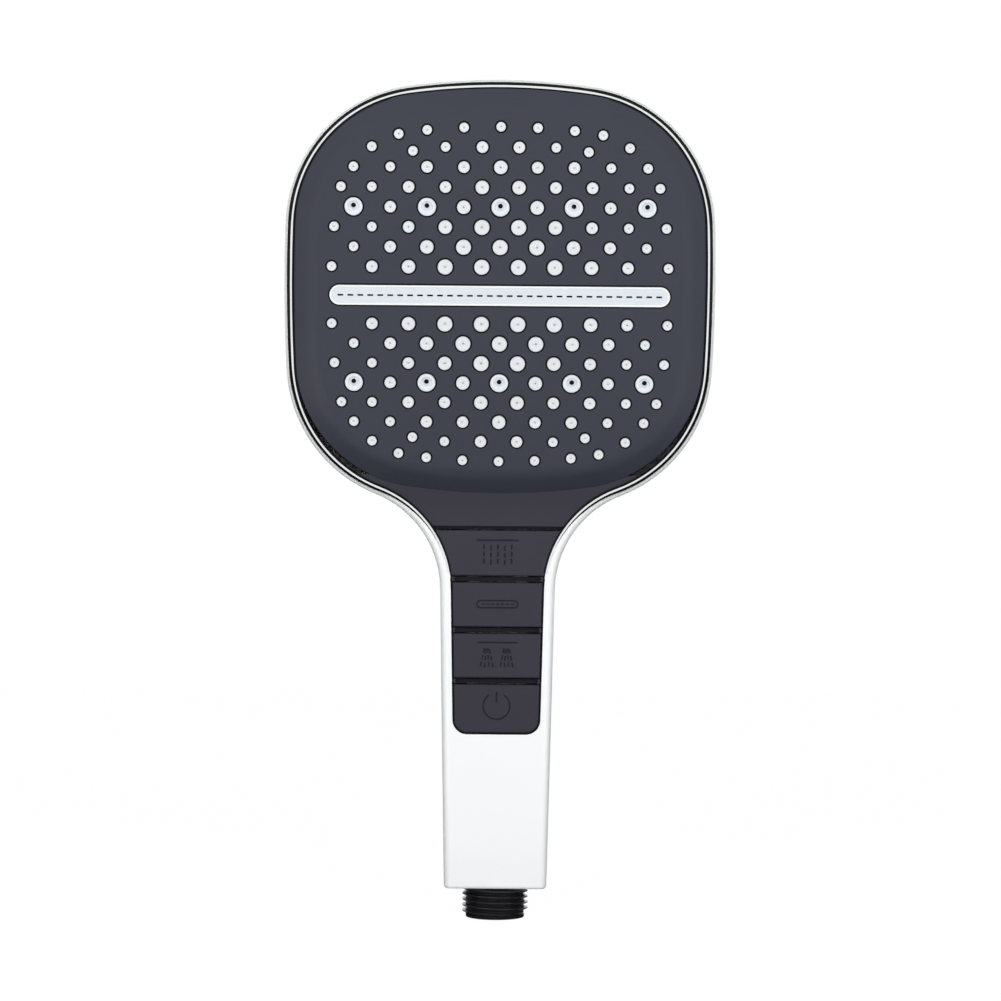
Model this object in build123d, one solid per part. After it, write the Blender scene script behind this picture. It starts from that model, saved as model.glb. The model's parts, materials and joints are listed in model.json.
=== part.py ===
from build123d import *
import os
from math import atan2, cos, hypot, pi, radians, sin, sqrt, tan

# Handheld shower head with a key bank. Millimetres. The inlet axis is Z, the handle's foot is at Z 0,
# the spray face looks towards -Y and X runs across the handle.

# Head and handle seen from the front
HEAD_WIDTH = 134.6
HEAD_LONGER = 0.7
HEAD_CORNER_R = 44.1
HEAD_SIDE_R = 512.0
HEAD_CROWN_R = 209.0
HEAD_FOOT_Z = 120.2
NECK_R = 32.5
HANDLE_FOOT_WIDTH = 32.4
HANDLE_TOP_WIDTH = 36.4
HANDLE_TOP_Z = 95.0

# Head and handle seen from the side
HANDLE_DEPTH = 26.0
HEAD_TILT = 12.0
BEND_R = 40.0
BEND_CLEARANCE = 0.7
HEAD_DEPTH_TOP = 17.0
HEAD_DEPTH_NECK = 24.0
BACK_BEND_R = 110.0
BACK_EDGE_R = 9.0
FRONT_EDGE_R = 2.2
FOOT_EDGE_R = 1.2

# Walls of the body and the opening in its front
WALL = 1.8
FRONT_WALL = 2.4
FOOT_WALL = 3.0
OPENING_INSET_HEAD = 2.5
OPENING_INSET_KEYS = 3.55
OPENING_CORNER_R = 4.4
COVER_GAP = 0.35
RIB_HEIGHT = 5.0
RIB_THICKNESS = 1.4

# Bright trim round the head
TRIM_WIDTH = 1.65
TRIM_DEPTH = 1.6
TRIM_PROUD = 0.55
TRIM_BEVEL = 1.08
TRIM_TAIL_INSET = 3.3
TRIM_TAIL_Z = 100.0

# Spray pad
PAD_PROUD = 1.3
PAD_PLATE = 2.2
PAD_SLOPE_WIDTH = 5.5
PAD_SLOPE_DROP = 1.5
PAD_SHOULDER_R = 16.0
PAD_SKIRT = 7.0
PAD_FOOT_RISE = 2.4
PAD_RIM = 3.6
PAD_FIT = 0.05
FLANGE_DEPTH = 0.9

# Nozzle field
FIELD_RISE = 0.61
COLUMN_MARGIN = 21.83
ROW_MARGIN = 21.1
FIRST_ROW = 8.95
ROW_COUNT = 7
LAST_STEP = 8
EDGE_RING_INSET = 14.8
EDGE_RING_SIDE_R = 230.5
EDGE_RING_CORNER_R = 26.5
CORNER_SQUEEZE = 1.3
CORNER_STEP = 2.77
NOZZLE_DIAMETERS = (2.9, 3.5, 4.1, 4.6)
NOZZLE_STAND = 0.9
NOZZLE_TAPER = 0.15
NOZZLE_GAP = 0.4
MAT_THICKNESS = 1.6
JET_ROW = 4
JET_DIAMETER = 5.5
JET_STAND = 0.6
JET_CONE_DIAMETER = 3.4
JET_CONE_DEPTH = 3.6
JET_HOLE_DIAMETER = 1.5
STRIP_MARGIN = 14.3
STRIP_HEIGHT = 6.2
STRIP_STAND = 0.5
SLIT_COUNT = 33
SLIT_MARGIN = 3.4
SLIT_LENGTH = 1.75
SLIT_HEIGHT = 0.5

# Water chamber behind the nozzle sheet
CHAMBER_DEPTH = 6.0
CHAMBER_WALL = 1.8
CHAMBER_FLOOR = 1.5
CHAMBER_LOBE_R = 4.2
GASKET_THICKNESS = 0.8
CHAMBER_BACK_PLATE = 2.0
FEED_BLOCK_LENGTH = 10.0
FEED_BLOCK_WALL = 1.5
FEED_TURN_R = 1.9

# Screws
SCREW_R = 1.1
SCREW_HEAD_R = 2.1
SCREW_HEAD_HEIGHT = 1.4
SCREW_GRIP = 3.6
SCREW_CLEARANCE = 0.05
SCREW_EDGE = 0.5
BOSS_R = 3.2

# Key bank
KEY_FOOT_Z = 49.1
KEY_GROOVE_Z = 65.8
KEY_PITCH = 16.15
KEY_GROOVE = 2.0
KEY_TOP_GROOVE = 1.3
KEY_NAMES = ("pause", "massage", "waterfall", "rain")
KEY_PROUD = 0.5
KEY_THICKNESS = 3.0
KEY_EDGE_R = 0.6
KEY_TRAVEL = 2.5
KEY_CLEARANCE = 0.3
KEY_BOSS_R = 4.0
KEY_BOSS_END = 7.0
FRAME_LAP = 0.8
FRAME_RECESS = 0.3
FRAME_DEPTH = 5.0
FRAME_BAR_RECESS = 1.7
GROOVE_END = 0.65
APRON_TOP_Z = 131.0

# Valve
STEM_R = 2.5
STEM_FIT = 0.05
STEM_SOCKET = 3.6
PISTON_R = 4.0
PISTON_LENGTH = 3.0
SEAL_SECTION = 1.4
SEAL_R = 4.25
VALVE_BORE_R = 4.3
VALVE_COVER_FRONT = 10.9
VALVE_COVER = 2.0
VALVE_HALF_WIDTH = 9.8
VALVE_END_MARGIN = 9.5
VALVE_BACK_EDGE_R = 4.0
PISTON_SET_BACK = 0.3
SPRING_COIL_R = 3.1
SPRING_WIRE = 0.6
SPRING_TURNS = 4
SPRING_SEAT = 1.4
SPRING_FACETS = 8
GALLERY_R = 2.6
OUTLET_R = 1.6
OUTLET_SPACING = 6.4
OUTLET_SET_BACK = 4.0
TUBE_R = 2.3
TUBE_SOCKET = 4.0
TUBE_SEAL_WIDTH = 1.2

# Interlock slide
SLIDE_HALF_WIDTH = 3.9
SLIDE_THICKNESS = 0.8
SLIDE_TRAVEL = 1.2
SLIDE_FLOAT = 0.15
SLIDE_SPRING_LENGTH = 4.0
SLIDE_SPRING_R = 1.2
GUIDE_WIDTH = 1.2

# Inlet, G1/2
THREAD_R = 20.955 / 2
THREAD_LENGTH = 10.3
THREAD_LEAD_R = 9.35
THREAD_LEAD = 2.0
INLET_BORE_R = 6.0
INLET_CUP_R = 7.3
INLET_CUP_DEPTH = 3.2
INLET_NECK_R = 8.5
INLET_NECK_TOP = 14.0
LOCK_NUT_HEIGHT = 4.0
LOCK_NUT_ACROSS = 19.0
PIPE_WALL = 1.6
PIPE_R = 6.6
PIPE_SPIGOT_R = 5.0
INLET_BOSS_R = 7.2
INLET_BOSS_LENGTH = 10.0
SCREEN_THICKNESS = 1.2
SCREEN_PITCH = 2.6
SCREEN_HOLE_R = 0.8
SCREEN_RINGS = 2
LIMITER_THICKNESS = 1.6
FIT = 0.03

# Worked out from the sizes above
HEAD_HALF = HEAD_WIDTH / 2
TILT = radians(HEAD_TILT)
HEAD_SHORT = HEAD_HALF - (HEAD_WIDTH + HEAD_LONGER) / 2 * cos(TILT)
HEAD_Z = HEAD_FOOT_Z + HEAD_HALF - HEAD_SHORT
FIELD_Z = HEAD_Z + FIELD_RISE
SIDE_SHIFT = HEAD_SIDE_R - HEAD_HALF
CROWN_SHIFT = HEAD_CROWN_R - HEAD_HALF + HEAD_SHORT
FRONT_Y = -HANDLE_DEPTH / 2
BACK_Y = HANDLE_DEPTH / 2
KEY_COUNT = len(KEY_NAMES)
KEY_BANK_TOP_Z = KEY_GROOVE_Z + KEY_PITCH * (KEY_COUNT - 1) - KEY_TOP_GROOVE / 2
BEND_START_Z = KEY_BANK_TOP_Z + BEND_CLEARANCE
BEND_CENTRE = (FRONT_Y - BEND_R, BEND_START_Z)
HANDLE_SLOPE = (HANDLE_TOP_WIDTH - HANDLE_FOOT_WIDTH) / 2 / HANDLE_TOP_Z
REACH = 400.0
AHEAD = BEND_R / 2
COLUMN_PITCH = 2 * (HEAD_HALF - COLUMN_MARGIN) / LAST_STEP
ROW_PITCH = (HEAD_HALF - ROW_MARGIN - FIRST_ROW) / (ROW_COUNT - 1)
STRIP_LENGTH = HEAD_WIDTH - 2 * STRIP_MARGIN
SLIT_PITCH = (STRIP_LENGTH - 2 * SLIT_MARGIN) / (SLIT_COUNT - 1)
NEAR = 0.01
ALONG = 0.95


def arc(centre, radius, start, end):
    """The short arc about centre, from start to end, in the flat of an outline."""
    middle = Vector(*start) - Vector(*centre) + Vector(*end) - Vector(*centre)
    return ThreePointArc(start, Vector(*centre) + middle.normalized() * radius, end)


def corner_centre(side_reach, side_shift, crown_reach, crown_shift):
    """Centre of the corner arc that touches a side arc and a crown arc, from how far it is from theirs."""
    apart = hypot(side_shift, crown_shift)
    along = (side_reach**2 - crown_reach**2 + apart**2) / (2 * apart**2)
    out = sqrt(side_reach**2 / apart**2 - along**2)
    return (along - 1) * side_shift + out * crown_shift, out * side_shift - along * crown_shift


# The side arcs are centred across the head and the crown arcs above and below its middle
SIDE_REACH = HEAD_SIDE_R - HEAD_CORNER_R
CORNER_X, CORNER_Z = corner_centre(SIDE_REACH, SIDE_SHIFT, HEAD_CROWN_R - HEAD_CORNER_R, CROWN_SHIFT)
EDGE_RING_HALF = HEAD_HALF - EDGE_RING_INSET
RING_REACH = EDGE_RING_SIDE_R - EDGE_RING_CORNER_R
RING_SHIFT = EDGE_RING_SIDE_R - EDGE_RING_HALF
RING_CORNER = corner_centre(RING_REACH, RING_SHIFT, RING_REACH, RING_SHIFT)[0]


def rounded_square(half, rise=0.0):
    """The head's outline at a half width, seen from the front. The lower edge can stand higher by rise."""
    inset = HEAD_HALF - half
    corner_r = HEAD_CORNER_R - inset
    side_r = HEAD_SIDE_R - inset
    crown_r = HEAD_CROWN_R - inset
    half_z = half - HEAD_SHORT
    low_z = CORNER_Z - rise
    low_x = sqrt(SIDE_REACH**2 - low_z**2) - SIDE_SHIFT
    drop = half_z - rise - low_z
    low_r = (corner_r**2 - low_x**2 - drop**2) / (2 * (corner_r - drop))

    def meet(centre, corner, radius):
        way = Vector(*corner) - Vector(*centre)
        return Vector(*centre) + way.normalized() * radius

    top = meet((0, -CROWN_SHIFT), (CORNER_X, CORNER_Z), crown_r)
    side_top = meet((-SIDE_SHIFT, 0), (CORNER_X, CORNER_Z), side_r)
    side_low = meet((-SIDE_SHIFT, 0), (low_x, -low_z), side_r)
    foot = meet((0, low_r + rise - half_z), (low_x, -low_z), low_r)
    right = [
        arc((CORNER_X, CORNER_Z), corner_r, top, side_top),
        arc((-SIDE_SHIFT, 0), side_r, side_top, side_low),
        arc((low_x, -low_z), corner_r, side_low, foot),
    ]
    left = [mirror(edge, Plane.YZ) for edge in right]
    ends = [
        ThreePointArc((-top.X, top.Y), (0, half_z), top),
        ThreePointArc((-foot.X, foot.Y), (0, rise - half_z), foot),
    ]
    return Pos(0, HEAD_Z) * make_face(right + left + ends)


def paddle(inset_head, inset_handle, foot_z, foot_r=0.0):
    """Outline of head, neck and handle, set in from the body's own outline and ending at foot_z."""
    corner_r = HEAD_CORNER_R - inset_head
    side_r = HEAD_SIDE_R - inset_head
    crown_r = HEAD_CROWN_R - inset_head
    neck_r = NECK_R + inset_head
    slant = sqrt(1 + HANDLE_SLOPE**2)
    side_x = HANDLE_FOOT_WIDTH / 2 - inset_handle

    # The neck arc touches the lower corner arc and the handle's slanted side
    base_x = side_x + neck_r * slant - CORNER_X
    base_z = HEAD_Z - CORNER_Z
    a = 1 + HANDLE_SLOPE**2
    b = 2 * (base_x * HANDLE_SLOPE - base_z)
    q = base_x**2 + base_z**2 - (corner_r + neck_r) ** 2
    neck_z = (-b - sqrt(b**2 - 4 * a * q)) / (2 * a)
    neck = Vector(base_x + CORNER_X + HANDLE_SLOPE * neck_z, neck_z)
    corner_low = Vector(CORNER_X, base_z)
    corner_top = Vector(CORNER_X, HEAD_Z + CORNER_Z)
    side = Vector(-SIDE_SHIFT, HEAD_Z)
    crown = Vector(0, HEAD_Z - CROWN_SHIFT)

    top = crown + (corner_top - crown).normalized() * crown_r
    side_top = side + (corner_top - side).normalized() * side_r
    side_low = side + (corner_low - side).normalized() * side_r
    waist = corner_low + (neck - corner_low).normalized() * corner_r
    handle_top = neck + Vector(-1, HANDLE_SLOPE).normalized() * neck_r
    foot = Vector(side_x + HANDLE_SLOPE * (foot_z + foot_r), foot_z + foot_r)
    right = [
        arc((corner_top.X, corner_top.Y), corner_r, top, side_top),
        arc((side.X, side.Y), side_r, side_top, side_low),
        arc((corner_low.X, corner_low.Y), corner_r, side_low, waist),
        arc((neck.X, neck.Y), neck_r, waist, handle_top),
        Line(handle_top, foot),
    ]
    floor = Vector(foot.X - foot_r, foot_z)
    if foot_r > 0:
        right.append(TangentArc(foot, floor, tangent=foot - handle_top))
    left = [mirror(edge, Plane.YZ) for edge in right]
    ends = [
        ThreePointArc((-top.X, top.Y), crown + Vector(0, crown_r), top),
        Line((-floor.X, foot_z), floor),
    ]
    return make_face(right + left + ends)


def through(outline):
    """A front outline taken right through the body, front to back."""
    return extrude(Plane.XZ * outline, amount=REACH, both=True)


def front_path(depth, foot_z=-REACH):
    """Side view of the front surface, set back by depth: handle, bend and tilted head."""
    y = FRONT_Y + depth
    r = BEND_R + depth
    bend_end = Vector(BEND_CENTRE[0] + r * cos(TILT), BEND_CENTRE[1] + r * sin(TILT))
    head_end = bend_end + Vector(-sin(TILT), cos(TILT)) * REACH
    start = Vector(y, BEND_START_Z)
    return [
        Line((y, foot_z), start),
        arc(BEND_CENTRE, r, start, bend_end),
        Line(bend_end, head_end),
    ]


def slab(near, far):
    """Solid between two side-view paths, taken across the whole width."""
    ends = [
        Line(near[0] @ 0, far[0] @ 0),
        Line(near[-1] @ 1, far[-1] @ 1),
    ]
    return extrude(Plane.YZ * make_face(near + far + ends), amount=REACH, both=True)


def skin(near, far):
    """Layer of the front between two depths below its surface."""
    return slab(front_path(near), front_path(far))


def front_depth(point):
    """Depth of a point below the front surface."""
    y = point.Y - BEND_CENTRE[0]
    z = point.Z - BEND_CENTRE[1]
    if z <= 0:
        return point.Y - FRONT_Y
    if atan2(z, y) <= TILT:
        return hypot(y, z) - BEND_R
    return y * cos(TILT) + z * sin(TILT) - BEND_R


def head_y(z):
    """Y of the head's front plane at a height."""
    return BEND_CENTRE[0] + (BEND_R - (z - BEND_CENTRE[1]) * sin(TILT)) / cos(TILT)


HEAD_PLANE = Plane(origin=(0, head_y(FIELD_Z), FIELD_Z), x_dir=(1, 0, 0), z_dir=(0, -cos(TILT), -sin(TILT)))


def back_path(depth):
    """Side view of the back surface, set in by depth: handle, bend and head."""
    low = HEAD_PLANE.from_local_coords((0, -HEAD_HALF, depth - HEAD_DEPTH_NECK))
    high = HEAD_PLANE.from_local_coords((0, HEAD_HALF, depth - HEAD_DEPTH_TOP))
    lean = atan2(low.Y - high.Y, high.Z - low.Z)
    y = BACK_Y - depth
    r = BACK_BEND_R - depth
    knee_z = low.Z - (y - low.Y) / tan(lean)
    start = Vector(y, knee_z - r * tan(lean / 2))
    centre = Vector(y - r, start.Y)
    end = centre + Vector(cos(lean), sin(lean)) * r
    return [
        Line((y, -REACH), start),
        arc((centre.X, centre.Y), r, start, end),
        Line(end, end + Vector(-sin(lean), cos(lean)) * REACH),
    ]


def rim_edges(form, front):
    """Edges that run round the form: those of its front surface, and those of its back."""
    ahead = []
    behind = []
    for edge in form.edges():
        way = edge % 0.5
        place = edge @ 0.5
        across = edge.geom_type == GeomType.LINE and abs(way.X) > ALONG
        if across or abs(way.Y) > ALONG or place.Z < -HANDLE_DEPTH / 2:
            continue
        if abs(front_depth(place) - front) < NEAR:
            ahead.append(edge)
        else:
            behind.append(edge)
    return ahead, behind


def body_form(inset, front, back_edge_r):
    """Head, neck and handle as one form, set in from the outside. The handle runs on below its foot."""
    form = through(paddle(inset, inset, -HANDLE_DEPTH)) & slab(front_path(front), back_path(inset))
    return fillet(rim_edges(form, front)[1], back_edge_r)


def between(x0, x1, y0, y1, z0, z1):
    """Box between six limits."""
    return Pos((x0 + x1) / 2, (y0 + y1) / 2, (z0 + z1) / 2) * Box(x1 - x0, y1 - y0, z1 - z0)


def upright(radius, z0, z1, x=0.0, y=0.0):
    """Round bar along Z."""
    return Pos(x, y, z0) * Cylinder(radius, z1 - z0, align=(Align.CENTER, Align.CENTER, Align.MIN))


def inward(radius, near, far, z, x=0.0):
    """Round bar that runs into the handle, between two depths below its front."""
    bar = Cylinder(radius, far - near, align=(Align.CENTER, Align.CENTER, Align.MIN))
    return Pos(x, FRONT_Y + near, z) * Rot(-90, 0, 0) * bar


def normal_bar(radius, u, w, near, far):
    """Round bar square to the head's front, between two depths below it."""
    bar = Cylinder(radius, far - near, align=(Align.CENTER, Align.CENTER, Align.MIN))
    return HEAD_PLANE * (Pos(u, w, -far) * bar)


def head_prism(outline, near, far):
    """A flat outline of the head's front plane, taken square to it between two depths."""
    return HEAD_PLANE * extrude(Pos(0, 0, -far) * outline, amount=far - near)


def above(z):
    return between(-REACH, REACH, -REACH, REACH, z, REACH)


def below(z):
    return between(-REACH, REACH, -REACH, REACH, -REACH, z)


# Depths below the head's front, from the spray pad back to the chamber
PAD_HALF = HEAD_HALF - OPENING_INSET_HEAD - COVER_GAP
FLANGE_HALF = PAD_HALF + COVER_GAP - PAD_FIT
POCKET_HALF = PAD_HALF - PAD_RIM
SHEET_HALF = POCKET_HALF - COVER_GAP
SHEET_FRONT = PAD_PLATE - PAD_PROUD
SHEET_BACK = SHEET_FRONT + MAT_THICKNESS
CHAMBER_BACK = SHEET_BACK + CHAMBER_DEPTH
GASKET_BACK = CHAMBER_BACK + GASKET_THICKNESS
COVER_BACK = GASKET_BACK + CHAMBER_BACK_PLATE
SHEET_FOOT = (HEAD_SHORT + PAD_FOOT_RISE - SHEET_HALF - FIELD_RISE) / cos(TILT)

# Depths below the handle's front, and heights of the keys
VALVE_FRONT = VALVE_COVER_FRONT + VALVE_COVER
VALVE_BACK = HANDLE_DEPTH - WALL
PISTON_FRONT = VALVE_FRONT + PISTON_SET_BACK
PISTON_BACK = PISTON_FRONT + PISTON_LENGTH
SPRING_LENGTH = KEY_TRAVEL + SPRING_WIRE * (SPRING_TURNS + 1)
BORE_BACK = PISTON_BACK + SPRING_LENGTH
SLIDE_BACK = VALVE_COVER_FRONT - SLIDE_FLOAT
SLIDE_FRONT = SLIDE_BACK - SLIDE_THICKNESS
KEY_Z = [KEY_GROOVE_Z + KEY_PITCH * (i - 0.5) for i in range(KEY_COUNT)]
VALVE_FOOT_Z = KEY_Z[0] - VALVE_END_MARGIN
VALVE_TOP_Z = KEY_Z[-1] + VALVE_END_MARGIN
SLIDE_TOP_Z = VALVE_TOP_Z - GUIDE_WIDTH - SLIDE_SPRING_LENGTH
SLIDE_FOOT_Z = VALVE_FOOT_Z + GUIDE_WIDTH


def edge_reach(offset):
    """How far the outermost ring of nozzles reaches, at an offset from the other axis."""
    if offset < RING_CORNER * EDGE_RING_SIDE_R / RING_REACH:
        return sqrt(EDGE_RING_SIDE_R**2 - offset**2) - RING_SHIFT
    return RING_CORNER + sqrt(EDGE_RING_CORNER_R**2 - (offset - RING_CORNER) ** 2)


def nozzle_field():
    """Places and diameters of the rain nozzles, and places of the jets, in one quarter of the field."""
    rain = []
    jets = []
    small, middle, large, largest = NOZZLE_DIAMETERS
    for row in range(1, ROW_COUNT + 1):
        w = FIRST_ROW + ROW_PITCH * (row - 1)
        for step in range(row % 2, LAST_STEP + 1, 2):
            u = COLUMN_PITCH * step / 2
            ring = row + step
            if row == JET_ROW and step % 4 == 0:
                jets.append((u, w))
            elif row == ROW_COUNT and step == 5:
                rain.append((u - CORNER_SQUEEZE, w - CORNER_SQUEEZE, small))
            elif row == ROW_COUNT and step == 7:
                rain.append((u, edge_reach(u), small))
            elif ring <= 4:
                rain.append((u, w, largest))
            elif ring == 6:
                rain.append((u, w, large))
            elif ring == 8 or ring == 10 and 4 <= row <= 6:
                rain.append((u, w, middle))
            else:
                rain.append((u, w, small))
        if row in (1, 3, 5):
            rain.append((edge_reach(w), w, small))
    for step in (0, 1, 2, CORNER_STEP):
        u = COLUMN_PITCH * step
        rain.append((u, edge_reach(u), small))
    return rain, jets


def mirrored(places):
    """The same places in all four quarters of the field, each once."""
    spread = []
    for u, w, *rest in places:
        sides = (1,) if u == 0 else (1, -1)
        spread += [(u * side, w * level, *rest) for side in sides for level in (1, -1)]
    return spread


RAIN = mirrored(nozzle_field()[0])
JETS = mirrored(nozzle_field()[1])


def dots(places, radius):
    return Sketch() + [Pos(u, w) * Circle(radius) for u, w in places]


def rain_of(diameter):
    return [(u, w) for u, w, size in RAIN if size == diameter]


def layer(half, near, far):
    """A flat layer of the head with the pad's outline at a half width."""
    return through(rounded_square(half, PAD_FOOT_RISE)) & skin(near, far)


def corner_screws():
    """Places of the screws that hold the chamber, one in each corner of the head."""
    corner_r = HEAD_CORNER_R - (HEAD_HALF - SHEET_HALF) - CHAMBER_WALL - SCREW_EDGE - SCREW_HEAD_R
    x = CORNER_X + corner_r / sqrt(2)
    z = CORNER_Z + corner_r / sqrt(2)
    levels = ((z - FIELD_RISE) / cos(TILT), (PAD_FOOT_RISE - z - FIELD_RISE) / cos(TILT))
    return [(side * x, w) for side in (1, -1) for w in levels]


def group(pieces):
    """Separate solids in one node."""
    return Compound(children=[solid for piece in pieces for solid in piece.solids()])


def strip_slot():
    return SlotOverall(STRIP_LENGTH + 2 * NOZZLE_GAP, STRIP_HEIGHT + 2 * NOZZLE_GAP)


def face_plate():
    """Spray pad with a sloping border, a hole for each nozzle and a flange that closes the gap round it."""
    pad = layer(PAD_HALF, -PAD_PROUD, PAD_SKIRT - PAD_PROUD)
    top = [face for face in pad.faces() if abs(front_depth(face.center()) + PAD_PROUD) < NEAR][0]
    pad = chamfer(top.edges(), PAD_SLOPE_WIDTH, PAD_SLOPE_DROP, reference=top)
    shoulder = [edge for edge in pad.edges() if abs(front_depth(edge @ 0.5) + PAD_PROUD) < NEAR]
    pad = fillet(shoulder, PAD_SHOULDER_R)
    pad += layer(FLANGE_HALF, FLANGE_DEPTH, PAD_SKIRT - PAD_PROUD)
    pad -= layer(POCKET_HALF, SHEET_FRONT, REACH / 4)
    holes = strip_slot() + dots(JETS, JET_DIAMETER / 2 + NOZZLE_GAP)
    for size in NOZZLE_DIAMETERS:
        holes += dots(rain_of(size), size / 2 + NOZZLE_GAP)
    return pad - head_prism(holes, -REACH / 4, REACH / 4)


def nozzle_mat():
    """Silicone sheet with the rain nozzles standing on it."""
    sheet = layer(SHEET_HALF, SHEET_FRONT, SHEET_BACK)
    sheet -= head_prism(strip_slot() + dots(JETS, JET_DIAMETER / 2 + NOZZLE_GAP), 0, REACH / 4)
    height = PAD_PLATE + NOZZLE_STAND
    tips = []
    for u, w, size in RAIN:
        tip = Cone(size / 2, size / 2 - NOZZLE_TAPER, height, align=(Align.CENTER, Align.CENTER, Align.MIN))
        tips.append(HEAD_PLANE * (Pos(u, w, -SHEET_FRONT) * tip))
    return sheet + tips


def jet_nozzles():
    """Each jet has a conical mouth that narrows to its hole."""
    front = PAD_PROUD + JET_STAND
    jets = []
    for u, w in JETS:
        jet = normal_bar(JET_DIAMETER / 2, u, w, -front, SHEET_BACK)
        jet -= normal_bar(JET_HOLE_DIAMETER / 2, u, w, -front, SHEET_BACK)
        mouth = Cone(JET_HOLE_DIAMETER / 2, JET_CONE_DIAMETER / 2, JET_CONE_DEPTH)
        jets.append(jet - HEAD_PLANE * (Pos(u, w, front - JET_CONE_DEPTH / 2) * mouth))
    return group(jets)


def waterfall_strip():
    strip = head_prism(SlotOverall(STRIP_LENGTH, STRIP_HEIGHT), -PAD_PROUD - STRIP_STAND, SHEET_BACK)
    first = -SLIT_PITCH * (SLIT_COUNT - 1) / 2
    slits = [Pos(first + SLIT_PITCH * i, 0) * Rectangle(SLIT_LENGTH, SLIT_HEIGHT) for i in range(SLIT_COUNT)]
    return strip - head_prism(Sketch() + slits, -REACH / 4, REACH / 4)


def chamber_plate():
    """Tray behind the nozzle sheet, with a walled lane for the strip and a lobe under each jet."""
    tray = layer(SHEET_HALF, SHEET_BACK, CHAMBER_BACK)
    tray -= layer(SHEET_HALF - CHAMBER_WALL, SHEET_BACK, CHAMBER_BACK - CHAMBER_FLOOR)
    lane_wall = SlotOverall(STRIP_LENGTH + CHAMBER_WALL, STRIP_HEIGHT + CHAMBER_WALL)
    tray += head_prism(lane_wall, SHEET_BACK, CHAMBER_BACK)
    tray += head_prism(dots(JETS, CHAMBER_LOBE_R), SHEET_BACK, CHAMBER_BACK)
    tray += head_prism(dots(corner_screws(), BOSS_R), SHEET_BACK, CHAMBER_BACK)
    lane = SlotOverall(STRIP_LENGTH - CHAMBER_WALL, STRIP_HEIGHT - CHAMBER_WALL)
    tray -= head_prism(lane + dots(JETS, JET_CONE_DIAMETER / 2), SHEET_BACK, CHAMBER_BACK)
    tray -= head_prism(dots(corner_screws(), SCREW_R + SCREW_CLEARANCE), SHEET_BACK, CHAMBER_BACK)
    seat = SHEET_BACK + SCREW_HEAD_HEIGHT
    return tray - head_prism(dots(corner_screws(), SCREW_HEAD_R + SCREW_CLEARANCE), SHEET_BACK, seat)


def chamber_gasket():
    ring = layer(SHEET_HALF, CHAMBER_BACK, GASKET_BACK)
    ring -= layer(SHEET_HALF - 2 * BOSS_R, CHAMBER_BACK, GASKET_BACK)
    return ring - head_prism(dots(corner_screws(), SCREW_R + SCREW_CLEARANCE), CHAMBER_BACK, GASKET_BACK)


# Feed tubes from the valve's top to the chamber, parallel to the head's front
FEED_FROM = HEAD_PLANE.to_local_coords(Vector(0, FRONT_Y + VALVE_FRONT + OUTLET_SET_BACK, VALVE_TOP_Z))
FEED_DEPTH = -FEED_FROM.Z
FEED_FOOT = FEED_FROM.Y
FEED_X = {"rain": 0.0, "waterfall": OUTLET_SPACING, "massage": -OUTLET_SPACING}


def feed_bar(radius, x, w0, w1):
    """Round bar in line with a feed tube."""
    bar = Cylinder(radius, w1 - w0, align=(Align.CENTER, Align.CENTER, Align.MIN))
    return HEAD_PLANE * (Pos(x, w0, -FEED_DEPTH) * Rot(-90, 0, 0) * bar)


def chamber_cover():
    """Rear plate of the chamber, with the block that takes the three feed tubes."""
    cover = layer(SHEET_HALF, GASKET_BACK, COVER_BACK)
    half = OUTLET_SPACING + TUBE_R + FEED_BLOCK_WALL
    block = Pos(0, SHEET_FOOT + FEED_BLOCK_LENGTH / 2) * Rectangle(2 * half, FEED_BLOCK_LENGTH)
    cover += head_prism(block, GASKET_BACK, FEED_DEPTH + TUBE_R + FEED_BLOCK_WALL)
    turn = SHEET_FOOT + FEED_BLOCK_LENGTH - TUBE_R
    for x in FEED_X.values():
        cover -= feed_bar(TUBE_R + FIT, x, SHEET_FOOT - TUBE_SOCKET, SHEET_FOOT + TUBE_SOCKET)
        cover -= feed_bar(OUTLET_R, x, SHEET_FOOT, turn)
        cover -= normal_bar(FEED_TURN_R, x, turn - FEED_TURN_R, GASKET_BACK, FEED_DEPTH)
    return cover - head_prism(dots(corner_screws(), SCREW_R + SCREW_CLEARANCE), GASKET_BACK, COVER_BACK)


def feed_tube(x):
    foot = FEED_FOOT - TUBE_SOCKET
    tube = feed_bar(TUBE_R, x, foot, SHEET_FOOT + TUBE_SOCKET)
    return tube - feed_bar(OUTLET_R, x, foot, SHEET_FOOT + TUBE_SOCKET)


def feed_seals():
    """A ring on each feed tube, against the underside of the chamber's block."""
    rings = []
    for x in FEED_X.values():
        ring = feed_bar(TUBE_R + FEED_BLOCK_WALL / 2, x, SHEET_FOOT - TUBE_SEAL_WIDTH, SHEET_FOOT)
        rings.append(ring - feed_bar(TUBE_R + FIT, x, SHEET_FOOT - TUBE_SEAL_WIDTH, SHEET_FOOT))
    return group(rings)


def screw(length):
    """Pan-head screw with its head's top at Z 0, pointing down."""
    return upright(SCREW_HEAD_R, -SCREW_HEAD_HEIGHT, 0) + upright(SCREW_R, -length, -SCREW_HEAD_HEIGHT)


def face_screws():
    length = COVER_BACK - SHEET_BACK + SCREW_GRIP
    return group(HEAD_PLANE * (Pos(u, w, -SHEET_BACK) * screw(length)) for u, w in corner_screws())


def opening(shrink=0.0):
    """Outline of the opening in the body's front, or of a cover that fits it."""
    head = OPENING_INSET_HEAD + shrink
    return paddle(head, OPENING_INSET_KEYS + shrink, KEY_FOOT_Z + shrink, OPENING_CORNER_R - shrink)


def trim_plate():
    """Outline of the trim's outside, which draws near the opening's edge along the neck."""
    return through(paddle(OPENING_INSET_HEAD - TRIM_WIDTH, TRIM_TAIL_INSET, KEY_FOOT_Z))


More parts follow.
